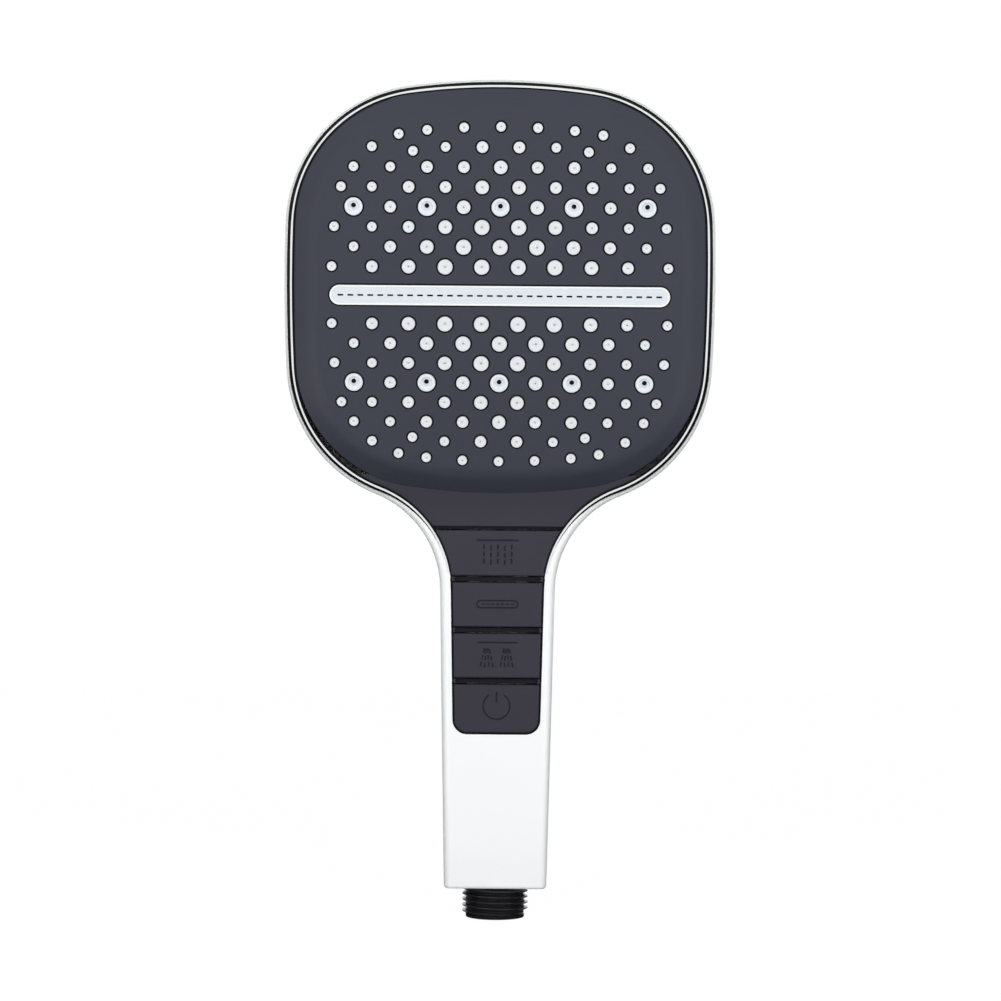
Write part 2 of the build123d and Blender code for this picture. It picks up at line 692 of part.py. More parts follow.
def trim_ring():
    """Bevelled ring, widest round the head and running out along the neck."""
    plate = through(opening(-TRIM_WIDTH)) & skin(-TRIM_PROUD, TRIM_DEPTH)
    plate = chamfer(rim_edges(plate, -TRIM_PROUD)[0], TRIM_BEVEL)
    return ((plate & trim_plate()) - through(opening())) & above(TRIM_TAIL_Z)


def rear_shell():
    """One moulding for head, neck and handle, open at the front for the pad and the keys."""
    outer = body_form(0, 0, BACK_EDGE_R)
    outer = fillet(rim_edges(outer, 0)[0], FRONT_EDGE_R) & above(0)
    foot = [edge for edge in outer.edges() if abs((edge @ 0.5).Z) < NEAR]
    outer = fillet(foot, FOOT_EDGE_R)
    shell = outer - (body_form(WALL, FRONT_WALL, BACK_EDGE_R - WALL) & above(FOOT_WALL))
    shell -= through(opening()) & skin(-AHEAD, FRONT_WALL + WALL)
    shell -= trim_plate() & skin(-AHEAD, TRIM_DEPTH) & above(TRIM_TAIL_Z)
    shell -= upright(INLET_NECK_R + FIT, 0, FOOT_WALL)
    shell += head_prism(dots(corner_screws(), BOSS_R), COVER_BACK, HEAD_DEPTH_NECK) & outer
    rib_front = VALVE_BACK + FRONT_Y - RIB_HEIGHT
    for z in (VALVE_FOOT_Z - COVER_GAP - RIB_THICKNESS, VALVE_TOP_Z + COVER_GAP):
        shell += rib(rib_front, z) & outer
    grip = COVER_BACK + SCREW_GRIP + SCREW_CLEARANCE
    return shell - head_prism(dots(corner_screws(), SCREW_R + SCREW_CLEARANCE), COVER_BACK, grip)


def rib(front, z):
    """Rib across the handle's back that keeps the valve in place, open in the middle for pipe and tubes."""
    half = VALVE_HALF_WIDTH
    whole = between(-half, half, front, BACK_Y - WALL / 2, z, z + RIB_THICKNESS)
    gap = OUTLET_SPACING + TUBE_R + COVER_GAP
    return whole - between(-gap, gap, front, BACK_Y - WALL - COVER_GAP, z, z + RIB_THICKNESS)


def key_limits(i):
    """Lower and upper edge of a key."""
    low = KEY_Z[i] - (KEY_PITCH - KEY_GROOVE) / 2
    high = KEY_Z[i] + (KEY_PITCH - KEY_GROOVE) / 2
    if i == 0:
        low = KEY_FOOT_Z + COVER_GAP
    if i == KEY_COUNT - 1:
        high = KEY_BANK_TOP_Z
    return low, high


def key_prism(i, grow=0.0):
    """A key's front outline taken through the handle, or its window in the frame when grown."""
    low, high = key_limits(i)
    return through(opening(COVER_GAP - grow)) & above(low - grow) & below(high + grow)


def groove(i):
    """Round-ended groove above a key, which stops short of the keys' sides."""
    z = KEY_GROOVE_Z + KEY_PITCH * i
    half = HANDLE_FOOT_WIDTH / 2 + HANDLE_SLOPE * z - OPENING_INSET_KEYS - COVER_GAP - GROOVE_END
    return through(Pos(0, z) * SlotOverall(2 * half, KEY_GROOVE))


def key_frame():
    """Frame behind the front wall, with a bar under each groove, and the apron that runs up to the pad."""
    apron_foot = KEY_BANK_TOP_Z + KEY_TOP_GROOVE
    frame = through(opening(COVER_GAP)) & skin(FRAME_RECESS, FRAME_DEPTH)
    frame += through(opening(PAD_FIT)) & skin(FLANGE_DEPTH, FRAME_DEPTH) & above(apron_foot)
    frame &= below(APRON_TOP_Z)
    frame -= through(rounded_square(PAD_HALF + PAD_FIT, PAD_FOOT_RISE))
    frame -= layer(FLANGE_HALF + PAD_FIT, FLANGE_DEPTH - PAD_FIT, REACH / 4)
    frame += through(opening(-FRAME_LAP)) & skin(FRONT_WALL + COVER_GAP, FRAME_DEPTH) & below(apron_foot)
    grooves = through(opening(COVER_GAP)) & above(KEY_BANK_TOP_Z) & below(apron_foot)
    for i in range(KEY_COUNT - 1):
        grooves += groove(i)
    frame -= grooves & skin(-AHEAD, FRAME_BAR_RECESS)
    for i in range(KEY_COUNT):
        frame -= key_prism(i, KEY_CLEARANCE)
    return frame


def key(i):
    """Key cap with the boss that holds its plunger."""
    cap = key_prism(i) & skin(-KEY_PROUD, KEY_THICKNESS - KEY_PROUD)
    rim = []
    for edge in cap.edges():
        across = edge.geom_type == GeomType.LINE and abs((edge % 0.5).X) > ALONG
        inside = across and key_limits(i)[0] + KEY_EDGE_R < (edge @ 0.5).Z < key_limits(i)[1] - KEY_EDGE_R
        if abs(front_depth(edge @ 0.5) + KEY_PROUD) < NEAR and not inside:
            rim.append(edge)
    cap = fillet(rim, KEY_EDGE_R)
    cap += inward(KEY_BOSS_R, KEY_THICKNESS / 2, KEY_BOSS_END, KEY_Z[i])
    return cap - inward(STEM_R + FIT, KEY_BOSS_END - STEM_SOCKET, KEY_BOSS_END, KEY_Z[i])


def plunger(i):
    """Stem in the key's boss, piston in the valve's bore and a nose inside the spring."""
    rod = inward(STEM_R, KEY_BOSS_END - STEM_SOCKET, PISTON_FRONT, KEY_Z[i])
    rod += inward(PISTON_R, PISTON_FRONT, PISTON_BACK, KEY_Z[i])
    rod += inward(SPRING_COIL_R - SPRING_WIRE, PISTON_BACK, PISTON_BACK + SPRING_SEAT, KEY_Z[i])
    return rod - seal(i)


def seal(i):
    """Ring in the piston's groove."""
    near = PISTON_FRONT + (PISTON_LENGTH - SEAL_SECTION) / 2
    ring = inward(SEAL_R, near, near + SEAL_SECTION, KEY_Z[i])
    return ring - inward(SEAL_R - SEAL_SECTION, near, near + SEAL_SECTION, KEY_Z[i])


def coil(radius, wire, turns, length):
    """Compression spring of square wire along Z, from Z 0 to Z length."""
    steps = SPRING_FACETS * turns
    rise = (length - wire) / steps
    points = []
    for k in range(steps + 1):
        angle = 2 * pi * k / SPRING_FACETS
        points.append((radius * cos(angle), radius * sin(angle), wire / 2 + rise * k))
    path = Polyline(points)
    section = Plane(origin=path @ 0, x_dir=(1, 0, 0), z_dir=path % 0) * Rectangle(wire, wire)
    wound = sweep(section, path=path, transition=Transition.RIGHT)
    return wound & between(-2 * radius, 2 * radius, -2 * radius, 2 * radius, 0, length)


def key_spring(i):
    spring = coil(SPRING_COIL_R, SPRING_WIRE, SPRING_TURNS, SPRING_LENGTH)
    return Pos(0, FRONT_Y + PISTON_BACK, KEY_Z[i]) * Rot(-90, 0, 0) * spring


def valve_screw_places():
    x = VALVE_HALF_WIDTH - SCREW_HEAD_R - SCREW_CLEARANCE
    return [(side * x, KEY_GROOVE_Z + KEY_PITCH * step) for side in (1, -1) for step in (0, 2)]


def valve_block():
    """Block with a bore for each piston, fed from the inlet boss, with three outlets in its top."""
    front = VALVE_FRONT + FRONT_Y
    back = VALVE_BACK + FRONT_Y
    block = between(-VALVE_HALF_WIDTH, VALVE_HALF_WIDTH, front, back, VALVE_FOOT_Z, VALVE_TOP_Z)
    block = fillet(block.edges().filter_by(Axis.Z).sort_by(Axis.Y)[-2:], VALVE_BACK_EDGE_R)
    block &= slab(front_path(0), back_path(WALL))
    boss_foot = VALVE_FOOT_Z - INLET_BOSS_LENGTH
    block += upright(INLET_BOSS_R, boss_foot, VALVE_FOOT_Z)
    for z in KEY_Z:
        block -= inward(VALVE_BORE_R, VALVE_FRONT, BORE_BACK, z)
    outlet_y = front + OUTLET_SET_BACK
    block -= upright(PIPE_SPIGOT_R + FIT, boss_foot, VALVE_FOOT_Z - WALL)
    block -= upright(GALLERY_R, VALVE_FOOT_Z - WALL, KEY_Z[-1], 0, front + GALLERY_R + WALL / 2)
    for name, x in FEED_X.items():
        z = KEY_Z[KEY_NAMES.index(name)]
        block -= feed_bar(TUBE_R + FIT, x, FEED_FOOT - TUBE_SOCKET, FEED_FOOT + TUBE_SOCKET)
        block -= upright(OUTLET_R, z, VALVE_TOP_Z - TUBE_SOCKET / 2, x, outlet_y)
        if x:
            block -= Pos(x / 2, outlet_y, z) * Rot(0, 90, 0) * Cylinder(OUTLET_R, abs(x))
    grip = VALVE_FRONT + SCREW_GRIP + SCREW_CLEARANCE
    for x, z in valve_screw_places():
        block -= inward(SCREW_R + SCREW_CLEARANCE, VALVE_FRONT, grip, z, x)
    return block


def valve_cover():
    """Plate that keeps the pistons in, with guides for the interlock slide and a well for its spring."""
    front = VALVE_COVER_FRONT + FRONT_Y
    back = VALVE_FRONT + FRONT_Y
    guide_front = SLIDE_FRONT + FRONT_Y
    guide_x = SLIDE_HALF_WIDTH + SLIDE_FLOAT
    cover = between(-VALVE_HALF_WIDTH, VALVE_HALF_WIDTH, front, back, VALVE_FOOT_Z, VALVE_TOP_Z)
    for x in (guide_x, -guide_x - GUIDE_WIDTH):
        for z in (KEY_Z[0], KEY_Z[-1]):
            cover += between(x, x + GUIDE_WIDTH, guide_front, back, z - KEY_BOSS_R, z + KEY_BOSS_R)
    stop = VALVE_TOP_Z - GUIDE_WIDTH
    cover += between(-guide_x, guide_x, guide_front, back, stop, VALVE_TOP_Z)
    well = SLIDE_SPRING_R + SPRING_WIRE
    cover -= between(-well, well, front, front + well / 2, SLIDE_TOP_Z, stop)
    for z in KEY_Z:
        cover -= inward(STEM_R + STEM_FIT, VALVE_COVER_FRONT, VALVE_FRONT, z)
    for x, z in valve_screw_places():
        cover -= inward(SCREW_R + SCREW_CLEARANCE, VALVE_COVER_FRONT, VALVE_FRONT, z, x)
    return cover


def valve_screws():
    length = SCREW_HEAD_HEIGHT + VALVE_COVER + SCREW_GRIP
    top = VALVE_COVER_FRONT - SCREW_HEAD_HEIGHT + FRONT_Y
    return group(Pos(x, top, z) * Rot(90, 0, 0) * screw(length) for x, z in valve_screw_places())


def interlock_slide():
    """Plate that runs along all four stems, with a window for each."""
    near = SLIDE_FRONT + FRONT_Y
    far = SLIDE_BACK + FRONT_Y
    plate = between(-SLIDE_HALF_WIDTH, SLIDE_HALF_WIDTH, near, far, SLIDE_FOOT_Z, SLIDE_TOP_Z)
    x = STEM_R + KEY_CLEARANCE
    for z in KEY_Z:
        plate -= between(-x, x, near, far, z - x - SLIDE_TRAVEL, z + x)
    return plate


def interlock_spring():
    spring = coil(SLIDE_SPRING_R, SPRING_WIRE / 2, SPRING_TURNS, SLIDE_SPRING_LENGTH)
    return Pos(0, (SLIDE_FRONT + SLIDE_BACK) / 2 + FRONT_Y, SLIDE_TOP_Z) * spring


def inlet_connector():
    """G1/2 connector: the hose's thread outside, a cup for the screen, and a neck inside the handle."""
    body = upright(THREAD_R, THREAD_LEAD - THREAD_LENGTH, 0) + upright(THREAD_LEAD_R, -THREAD_LENGTH, 0)
    body += upright(INLET_NECK_R, 0, INLET_NECK_TOP)
    body -= upright(INLET_BORE_R, -THREAD_LENGTH, INLET_NECK_TOP)
    body -= upright(INLET_CUP_R, -THREAD_LENGTH, INLET_CUP_DEPTH - THREAD_LENGTH)
    return body - inlet_seal()


def inlet_seal():
    top = INLET_NECK_TOP - SEAL_SECTION
    ring = upright(INLET_NECK_R + FIT, top - SEAL_SECTION, top)
    return ring - upright(INLET_NECK_R - SEAL_SECTION, top - SEAL_SECTION, top)


def lock_nut():
    outline = RegularPolygon(LOCK_NUT_ACROSS / 2, 6, major_radius=False)
    nut = extrude(Pos(0, 0, FOOT_WALL) * outline, LOCK_NUT_HEIGHT)
    return nut - upright(INLET_NECK_R + FIT, FOOT_WALL, FOOT_WALL + LOCK_NUT_HEIGHT)


def inlet_pipe():
    """Socket over the connector's neck, narrowing to the pipe and to the spigot in the valve."""
    foot = FOOT_WALL + LOCK_NUT_HEIGHT + COVER_GAP
    socket_r = INLET_NECK_R + FIT
    top = VALVE_FOOT_Z - INLET_BOSS_LENGTH
    pipe = upright(socket_r + PIPE_WALL, foot, INLET_NECK_TOP + PIPE_WALL)
    pipe += upright(PIPE_R, INLET_NECK_TOP, top)
    pipe += upright(PIPE_SPIGOT_R, top, VALVE_FOOT_Z - 2 * WALL)
    pipe -= upright(socket_r, foot, INLET_NECK_TOP)
    return pipe - upright(PIPE_SPIGOT_R - PIPE_WALL, foot, VALVE_FOOT_Z)


def flow_limiter():
    top = INLET_CUP_DEPTH - THREAD_LENGTH
    disc = upright(INLET_CUP_R - FIT, top - LIMITER_THICKNESS, top)
    return disc - upright(INLET_BORE_R / 2, top - LIMITER_THICKNESS, top)


def filter_screen():
    top = INLET_CUP_DEPTH - THREAD_LENGTH - LIMITER_THICKNESS
    foot = top - SCREEN_THICKNESS
    disc = upright(INLET_CUP_R - FIT, foot, top)
    disc -= upright(SCREEN_HOLE_R, foot, top)
    for ring in range(1, SCREEN_RINGS + 1):
        reach = SCREEN_PITCH * ring
        for k in range(6 * ring):
            angle = pi * k / (3 * ring)
            disc -= upright(SCREEN_HOLE_R, foot, top, reach * cos(angle), reach * sin(angle))
    return disc


NODES = {
    "rear_shell": rear_shell,
    "trim_ring": trim_ring,
    "face_plate": face_plate,
    "nozzle_mat": nozzle_mat,
    "jet_nozzles": jet_nozzles,
    "waterfall_strip": waterfall_strip,
    "chamber_plate": chamber_plate,
    "chamber_gasket": chamber_gasket,
    "chamber_cover": chamber_cover,
    "face_screws": face_screws,
    "feed_seals": feed_seals,
    "key_frame": key_frame,
    "valve_block": valve_block,
    "valve_cover": valve_cover,
    "valve_screws": valve_screws,
    "interlock_slide": interlock_slide,
    "interlock_spring": interlock_spring,
    "inlet_connector": inlet_connector,
    "inlet_seal": inlet_seal,
    "lock_nut": lock_nut,
    "inlet_pipe": inlet_pipe,
    "flow_limiter": flow_limiter,
    "filter_screen": filter_screen,
}
KEY_NODES = {"key": key, "plunger": plunger, "seal": seal, "spring": key_spring}

os.makedirs("parts", exist_ok=True)
for name, make in NODES.items():
    export_step(make(), f"parts/{name}.step")
for name, x in FEED_X.items():
    export_step(feed_tube(x), f"parts/feed_tube_{name}.step")
for i, name in enumerate(KEY_NAMES):
    for kind, make in KEY_NODES.items():
        export_step(make(i), f"parts/{kind}_{name}.step")
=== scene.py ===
import bpy
import bmesh
import json
from math import atan2, cos, pi, radians, sin, sqrt
from mathutils import Matrix, Vector


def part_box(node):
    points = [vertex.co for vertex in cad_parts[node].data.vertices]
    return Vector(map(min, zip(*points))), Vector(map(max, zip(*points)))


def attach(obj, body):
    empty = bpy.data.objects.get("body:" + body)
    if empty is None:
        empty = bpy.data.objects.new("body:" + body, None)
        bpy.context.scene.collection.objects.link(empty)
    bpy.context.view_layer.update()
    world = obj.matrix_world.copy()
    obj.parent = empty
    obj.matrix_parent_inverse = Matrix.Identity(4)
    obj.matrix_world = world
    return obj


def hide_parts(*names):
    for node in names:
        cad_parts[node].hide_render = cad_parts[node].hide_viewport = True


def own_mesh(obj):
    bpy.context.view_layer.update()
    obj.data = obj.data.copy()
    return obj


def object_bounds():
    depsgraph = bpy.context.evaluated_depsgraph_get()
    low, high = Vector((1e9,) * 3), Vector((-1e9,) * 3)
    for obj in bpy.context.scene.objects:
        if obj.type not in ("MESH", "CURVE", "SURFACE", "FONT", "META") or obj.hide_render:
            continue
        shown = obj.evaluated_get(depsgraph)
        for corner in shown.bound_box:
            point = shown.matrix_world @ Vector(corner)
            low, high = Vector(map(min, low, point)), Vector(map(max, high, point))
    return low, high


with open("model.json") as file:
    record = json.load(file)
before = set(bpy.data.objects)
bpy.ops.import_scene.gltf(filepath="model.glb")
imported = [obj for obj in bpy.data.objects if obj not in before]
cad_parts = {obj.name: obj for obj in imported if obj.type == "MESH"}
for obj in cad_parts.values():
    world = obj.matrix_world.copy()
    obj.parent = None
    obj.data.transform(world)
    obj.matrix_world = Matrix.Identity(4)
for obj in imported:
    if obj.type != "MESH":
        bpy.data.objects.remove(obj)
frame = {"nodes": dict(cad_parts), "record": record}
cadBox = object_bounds()
nodes = frame["nodes"]
mm = 0.001
print("handset loaded,", len(nodes), "nodes")

# The spray face leans forward: x runs across it, y up it and z out of it
face = dict(tilt=radians(12), stripMid=0.35 * mm)


def faceMatrix():
    low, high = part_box("waterfall_strip")
    out = Vector((0, -cos(face["tilt"]), -sin(face["tilt"])))
    place = (low + high) / 2 + out * face["stripMid"]
    return Matrix.Translation(place) @ Matrix.Rotation(pi / 2 + face["tilt"], 4, "X")


onFace = faceMatrix()


# Small helpers for node trees

def addNode(tree, kind, **settings):
    node = tree.nodes.new(kind)
    for label, value in settings.items():
        setattr(node, label, value)
    return node


def setInputs(node, values):
    for label, value in values.items():
        node.inputs[label].default_value = value
    return node


def addMath(tree, operation, second=None):
    node = addNode(tree, "ShaderNodeMath", operation=operation)
    return node if second is None else setInputs(node, {1: second})


def wire(tree, *rows):
    # Each row is a node and its output, then the node and the input that it feeds
    for source, output, target, socket in rows:
        tree.links.new(source.outputs[output], target.inputs[socket])


def newMaterial(name):
    material = bpy.data.materials.new(name)
    material.use_nodes = True
    return material, material.node_tree


# Shader groups that several finishes share

def newShaderGroup(name, inputs, outputs):
    group = bpy.data.node_groups.new(name, "ShaderNodeTree")
    for label, value in inputs.items():
        socket = group.interface.new_socket(label, in_out="INPUT", socket_type="NodeSocketFloat")
        socket.default_value = value
    for label in outputs:
        group.interface.new_socket(label, in_out="OUTPUT", socket_type="NodeSocketFloat")
    return group, addNode(group, "NodeGroupInput"), addNode(group, "NodeGroupOutput")


# Fine spark-eroded texture, and a slow cloud that moves the tone a little
mouldTexture = dict(grainScale=3000, cloudScale=40, cellShare=0.5)


def makeMouldGrain():
    scales = {"Grain Scale": mouldTexture["grainScale"], "Cloud Scale": mouldTexture["cloudScale"]}
    group, given, result = newShaderGroup("mouldGrain", scales, ["Height", "Cloud"])
    place = addNode(group, "ShaderNodeTexCoord")
    fine = setInputs(addNode(group, "ShaderNodeTexNoise"), {"Detail": 3, "Roughness": 0.65})
    cell = addNode(group, "ShaderNodeTexVoronoi", feature="SMOOTH_F1")
    slow = setInputs(addNode(group, "ShaderNodeTexNoise"), {"Detail": 4, "Roughness": 0.5})
    both = addMath(group, "MULTIPLY_ADD", mouldTexture["cellShare"])
    wire(group,
         (place, "Object", fine, "Vector"), (given, "Grain Scale", fine, "Scale"),
         (place, "Object", cell, "Vector"), (given, "Grain Scale", cell, "Scale"),
         (place, "Object", slow, "Vector"), (given, "Cloud Scale", slow, "Scale"),
         (cell, "Distance", both, 0), (fine, "Fac", both, 2),
         (both, 0, result, "Height"), (slow, "Fac", result, "Cloud"))
    return group


# Wiped-dry smudges and hairline streaks left by a cloth
clothMarks = dict(smudgeScale=60, streakScale=900, streakShare=0.35, turn=(0.3, 0.2, 0.7), stretch=(0.06, 1, 1))


def makeHandling():
    scales = {"Smudge Scale": clothMarks["smudgeScale"], "Streak Scale": clothMarks["streakScale"]}
    group, given, result = newShaderGroup("handling", scales, ["Smudge"])
    place = addNode(group, "ShaderNodeTexCoord")
    turn = setInputs(addNode(group, "ShaderNodeMapping"),
                     {"Rotation": clothMarks["turn"], "Scale": clothMarks["stretch"]})
    smear = setInputs(addNode(group, "ShaderNodeTexNoise"), {"Detail": 5, "Roughness": 0.6, "Distortion": 0.6})
    streak = setInputs(addNode(group, "ShaderNodeTexNoise"), {"Detail": 2, "Roughness": 0.7})
    both = addMath(group, "MULTIPLY_ADD", clothMarks["streakShare"])
    wire(group,
         (place, "Object", smear, "Vector"), (given, "Smudge Scale", smear, "Scale"),
         (place, "Object", turn, "Vector"), (turn, 0, streak, "Vector"),
         (given, "Streak Scale", streak, "Scale"), (streak, "Fac", both, 0), (smear, "Fac", both, 2),
         (both, 0, result, "Smudge"))
    return group


mouldGrain = makeMouldGrain()
handling = makeHandling()


# Each finish: two tones that the cloud moves between, the roughness span of the smudges and the grain
finishes = {
    "satinShell": dict(
        tones=((0.91, 0.925, 0.935), (0.94, 0.95, 0.955)), rough=(0.27, 0.31), grain=5200, depth=0.004,
        fixed={"Coat Weight": 0.35, "Coat Roughness": 0.06, "Specular IOR Level": 0.5}),
    "brightTrim": dict(
        tones=((0.80, 0.81, 0.82), (0.84, 0.85, 0.86)), rough=(0.03, 0.09), grain=4000, depth=0.001,
        fixed={"Metallic": 1.0}),
    "padMatte": dict(
        tones=((0.0225, 0.0245, 0.039), (0.0255, 0.028, 0.044)), rough=(0.36, 0.44), grain=4200, depth=0.012,
        fixed={"Specular IOR Level": 0.4}),
    "keyMatte": dict(
        tones=((0.027, 0.0255, 0.038), (0.031, 0.029, 0.043)), rough=(0.42, 0.52), grain=4200, depth=0.012,
        fixed={"Specular IOR Level": 0.28}),
    # Painted shade: darker than the keys, for the faces of the signs sunk into them
    "keyMark": dict(
        tones=((0.016, 0.015, 0.021), (0.020, 0.019, 0.025)), rough=(0.5, 0.6), grain=4200, depth=0.004,
        fixed={"Specular IOR Level": 0.2}),
    # Painted shade: darker than the keys, for the key frame's faces deep in the gaps and grooves
    "grooveDark": dict(
        tones=((0.011, 0.0105, 0.014), (0.015, 0.014, 0.019)), rough=(0.55, 0.65), grain=4200, depth=0.004,
        fixed={"Specular IOR Level": 0.15}),
    "whiteSilicone": dict(
        tones=((0.71, 0.74, 0.77), (0.76, 0.78, 0.80)), rough=(0.42, 0.55), grain=5000, depth=0.004,
        fixed={"Specular IOR Level": 0.35, "Subsurface Weight": 0.08, "Subsurface Scale": 0.0006}),
    "jetPlastic": dict(
        tones=((0.72, 0.76, 0.80), (0.76, 0.80, 0.84)), rough=(0.18, 0.26), grain=3600, depth=0.002,
        fixed={"Coat Weight": 0.3, "Coat Roughness": 0.05}),
    "stripPlastic": dict(
        tones=((0.66, 0.725, 0.775), (0.70, 0.76, 0.80)), rough=(0.22, 0.32), grain=3600, depth=0.003,
        fixed={"Coat Weight": 0.2, "Coat Roughness": 0.08}),
    # Painted shade: near-black for the pieces and faces that stand where gaps, slits and outlets lie in shade
    "boreDark": dict(
        tones=((0.006, 0.006, 0.007), (0.010, 0.010, 0.011)), rough=(0.7, 0.8), grain=3000, depth=0.002,
        fixed={"Specular IOR Level": 0.1}),
    "inletBlack": dict(
        tones=((0.012, 0.0115, 0.013), (0.017, 0.016, 0.018)), rough=(0.16, 0.26), grain=3000, depth=0.002,
        fixed={"Specular IOR Level": 0.6, "Coat Weight": 0.6, "Coat Roughness": 0.05}),
    "innerPlastic": dict(
        tones=((0.70, 0.70, 0.68), (0.76, 0.76, 0.74)), rough=(0.4, 0.5), grain=2500, depth=0.004,
        fixed={"Specular IOR Level": 0.4}),
    "sealRubber": dict(
        tones=((0.020, 0.020, 0.021), (0.032, 0.032, 0.033)), rough=(0.6, 0.75), grain=2500, depth=0.006,
        fixed={"Specular IOR Level": 0.3}),
    "springSteel": dict(
        tones=((0.52, 0.52, 0.53), (0.60, 0.60, 0.61)), rough=(0.22, 0.36), grain=3500, depth=0.002,
        fixed={"Metallic": 1.0}),
}
# The span of smudge that moves the roughness, and how far the grain bends the normal
wear = dict(smudgeLow=0.4, smudgeHigh=0.95, grainStrength=0.35)


def makeFinish(name, tones, rough, grain, depth, fixed):
    material, tree = newMaterial(name)
    shader = setInputs(tree.nodes["Principled BSDF"], fixed)
    texture = setInputs(addNode(tree, "ShaderNodeGroup", node_tree=mouldGrain), {"Grain Scale": grain})
    wiped = addNode(tree, "ShaderNodeGroup", node_tree=handling)
    colour = setInputs(addNode(tree, "ShaderNodeMix", data_type="RGBA"),
                       {"A": (*tones[0], 1), "B": (*tones[1], 1)})
    sheen = setInputs(addNode(tree, "ShaderNodeMapRange"),
                      {"From Min": wear["smudgeLow"], "From Max": wear["smudgeHigh"],
                       "To Min": rough[0], "To Max": rough[1]})
    bump = setInputs(addNode(tree, "ShaderNodeBump"),
                     {"Strength": wear["grainStrength"], "Distance": depth * mm})
    wire(tree,
         (texture, "Cloud", colour, "Factor"), (colour, "Result", shader, "Base Color"),
         (wiped, "Smudge", sheen, "Value"), (sheen, "Result", shader, "Roughness"),
         (texture, "Height", bump, "Height"), (bump, "Normal", shader, "Normal"))
    return material


finish = {name: makeFinish(name, **values) for name, values in finishes.items()}
print("finishes made,", len(finish))


def paint(mesh, *looks):
    mesh.materials.clear()
    for look in looks:
        mesh.materials.append(finish[look])


# Which finish each material slot of the record wears on its CAD nodes
slotFinish = {
    "shell": "satinShell", "trim": "brightTrim", "pad": "padMatte", "silicone": "whiteSilicone",
    "jets": "jetPlastic", "keys": "keyMatte", "inlet": "inletBlack", "inner_plastic": "innerPlastic",
    "seal_rubber": "sealRubber", "steel": "springSteel",
}
for part in frame["record"]["subparts"]:
    paint(nodes[part["node"]].data, slotFinish[part["material_slot"]])
print("CAD nodes dressed")


# Geometry node trees: named inputs, realized instances and a set material at the end

def newGeometryTree(name, **inputs):
    tree = bpy.data.node_groups.new(name, "GeometryNodeTree")
    tree.is_modifier = True
    tree.interface.new_socket("Geometry", in_out="INPUT", socket_type="NodeSocketGeometry")
    for kind, labels in inputs.items():
        for label in labels:
            tree.interface.new_socket(label, in_out="INPUT", socket_type="NodeSocket" + kind)
    tree.interface.new_socket("Material", in_out="INPUT", socket_type="NodeSocketMaterial")
    tree.interface.new_socket("Geometry", in_out="OUTPUT", socket_type="NodeSocketGeometry")
    return tree, addNode(tree, "NodeGroupInput"), addNode(tree, "NodeGroupOutput")


def closeTree(tree, given, result, shape, output):
    real = addNode(tree, "GeometryNodeRealizeInstances")
    coat = addNode(tree, "GeometryNodeSetMaterial")
    wire(tree,
         (shape, output, real, "Geometry"), (real, "Geometry", coat, "Geometry"),
         (given, "Material", coat, "Material"), (coat, "Geometry", result, "Geometry"))


def newPiece(name, mesh):
    piece = bpy.data.objects.new(name, mesh)
    bpy.context.scene.collection.objects.link(piece)
    return piece


def keepResult(piece):
    # What the modifiers make stays as a plain mesh
    bpy.context.view_layer.update()
    made = piece.evaluated_get(bpy.context.evaluated_depsgraph_get())
    mesh = bpy.data.meshes.new_from_object(made)
    piece.modifiers.clear()
    piece.data = mesh
    mesh.name = piece.name
    return mesh


def growPiece(name, mesh, tree, values, matrix=None):
    # Runs the tree on a carrier mesh, and puts the result's place in its mesh
    carrier = newPiece(name, mesh)
    modifier = carrier.modifiers.new(tree.name, "NODES")
    modifier.node_group = tree
    for item in tree.interface.items_tree:
        if item.in_out == "INPUT" and item.name in values:
            modifier[item.identifier] = values[item.name]
    grown = keepResult(carrier)
    if matrix:
        grown.transform(matrix)
    return carrier


def lathe(name, profile, segments, closed=False):
    # Profile points are radius, height and a shift up the face in millimetres.
    # They go up the outside and down the inside
    shape = bmesh.new()
    rings = []
    for radius, height, *shift in profile:
        turns = [2 * pi * k / segments for k in range(segments if radius else 1)]
        rise = shift[0] if shift else 0
        ring = [(radius * cos(a) * mm, (radius * sin(a) + rise) * mm, height * mm) for a in turns]
        rings.append([shape.verts.new(place) for place in ring])
    for low, high in zip(rings, rings[1:] + rings[:1] if closed else rings[1:]):
        for k in range(segments):
            after = k + 1
            corners = (low[k % len(low)], low[after % len(low)], high[after % len(high)], high[k % len(high)])
            shape.faces.new(list(dict.fromkeys(corners)))
    mesh = bpy.data.meshes.new(name)
    shape.to_mesh(mesh)
    shape.free()
    mesh.shade_smooth()
    return mesh


def dress(piece, body, slot, *replaced):
    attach(piece, body)
    for node in replaced:
        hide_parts(node)


# Nozzle field in millimetres: rows of staggered columns whose tips grow towards the middle, inside a ring
# of small tips. Row and step add up to an even number, which counts the tips outwards
field = dict(
    columnPitch=11.3675, rowPitch=37.25 / 6, firstRow=8.95, rows=7, lastStep=8, jetRow=4, jetEvery=4,
    squeezedStep=5, squeeze=1.3, edgeStep=7, edgeRows=(1, 3, 5), ringSteps=(0, 1, 2, 2.77),
    ringHalf=52.5, ringSideR=230.5, ringCornerR=26.5,
    small=2.95, sizes={2: 4.67, 4: 4.67, 6: 4.18, 8: 3.57}, outerCount=10, outerRows=(4, 5, 6), outerSize=3.57,
    jetShadeRing=6.6, shadeRingMargin=1.06)


def edgeReach(offset):
    half, sideR, cornerR = field["ringHalf"], field["ringSideR"], field["ringCornerR"]
    reach = sideR - cornerR
    shift = sideR - half
    centre = (sqrt(2 * reach**2 - shift**2) - shift) / 2
    if offset < centre * sideR / reach:
        return half - sideR + sqrt(sideR**2 - offset**2)
    return centre + sqrt(cornerR**2 - (offset - centre) ** 2)


def tipSize(row, step):
    if row + step == field["outerCount"] and row in field["outerRows"]:
        return field["outerSize"]
    return field["sizes"].get(row + step, field["small"])


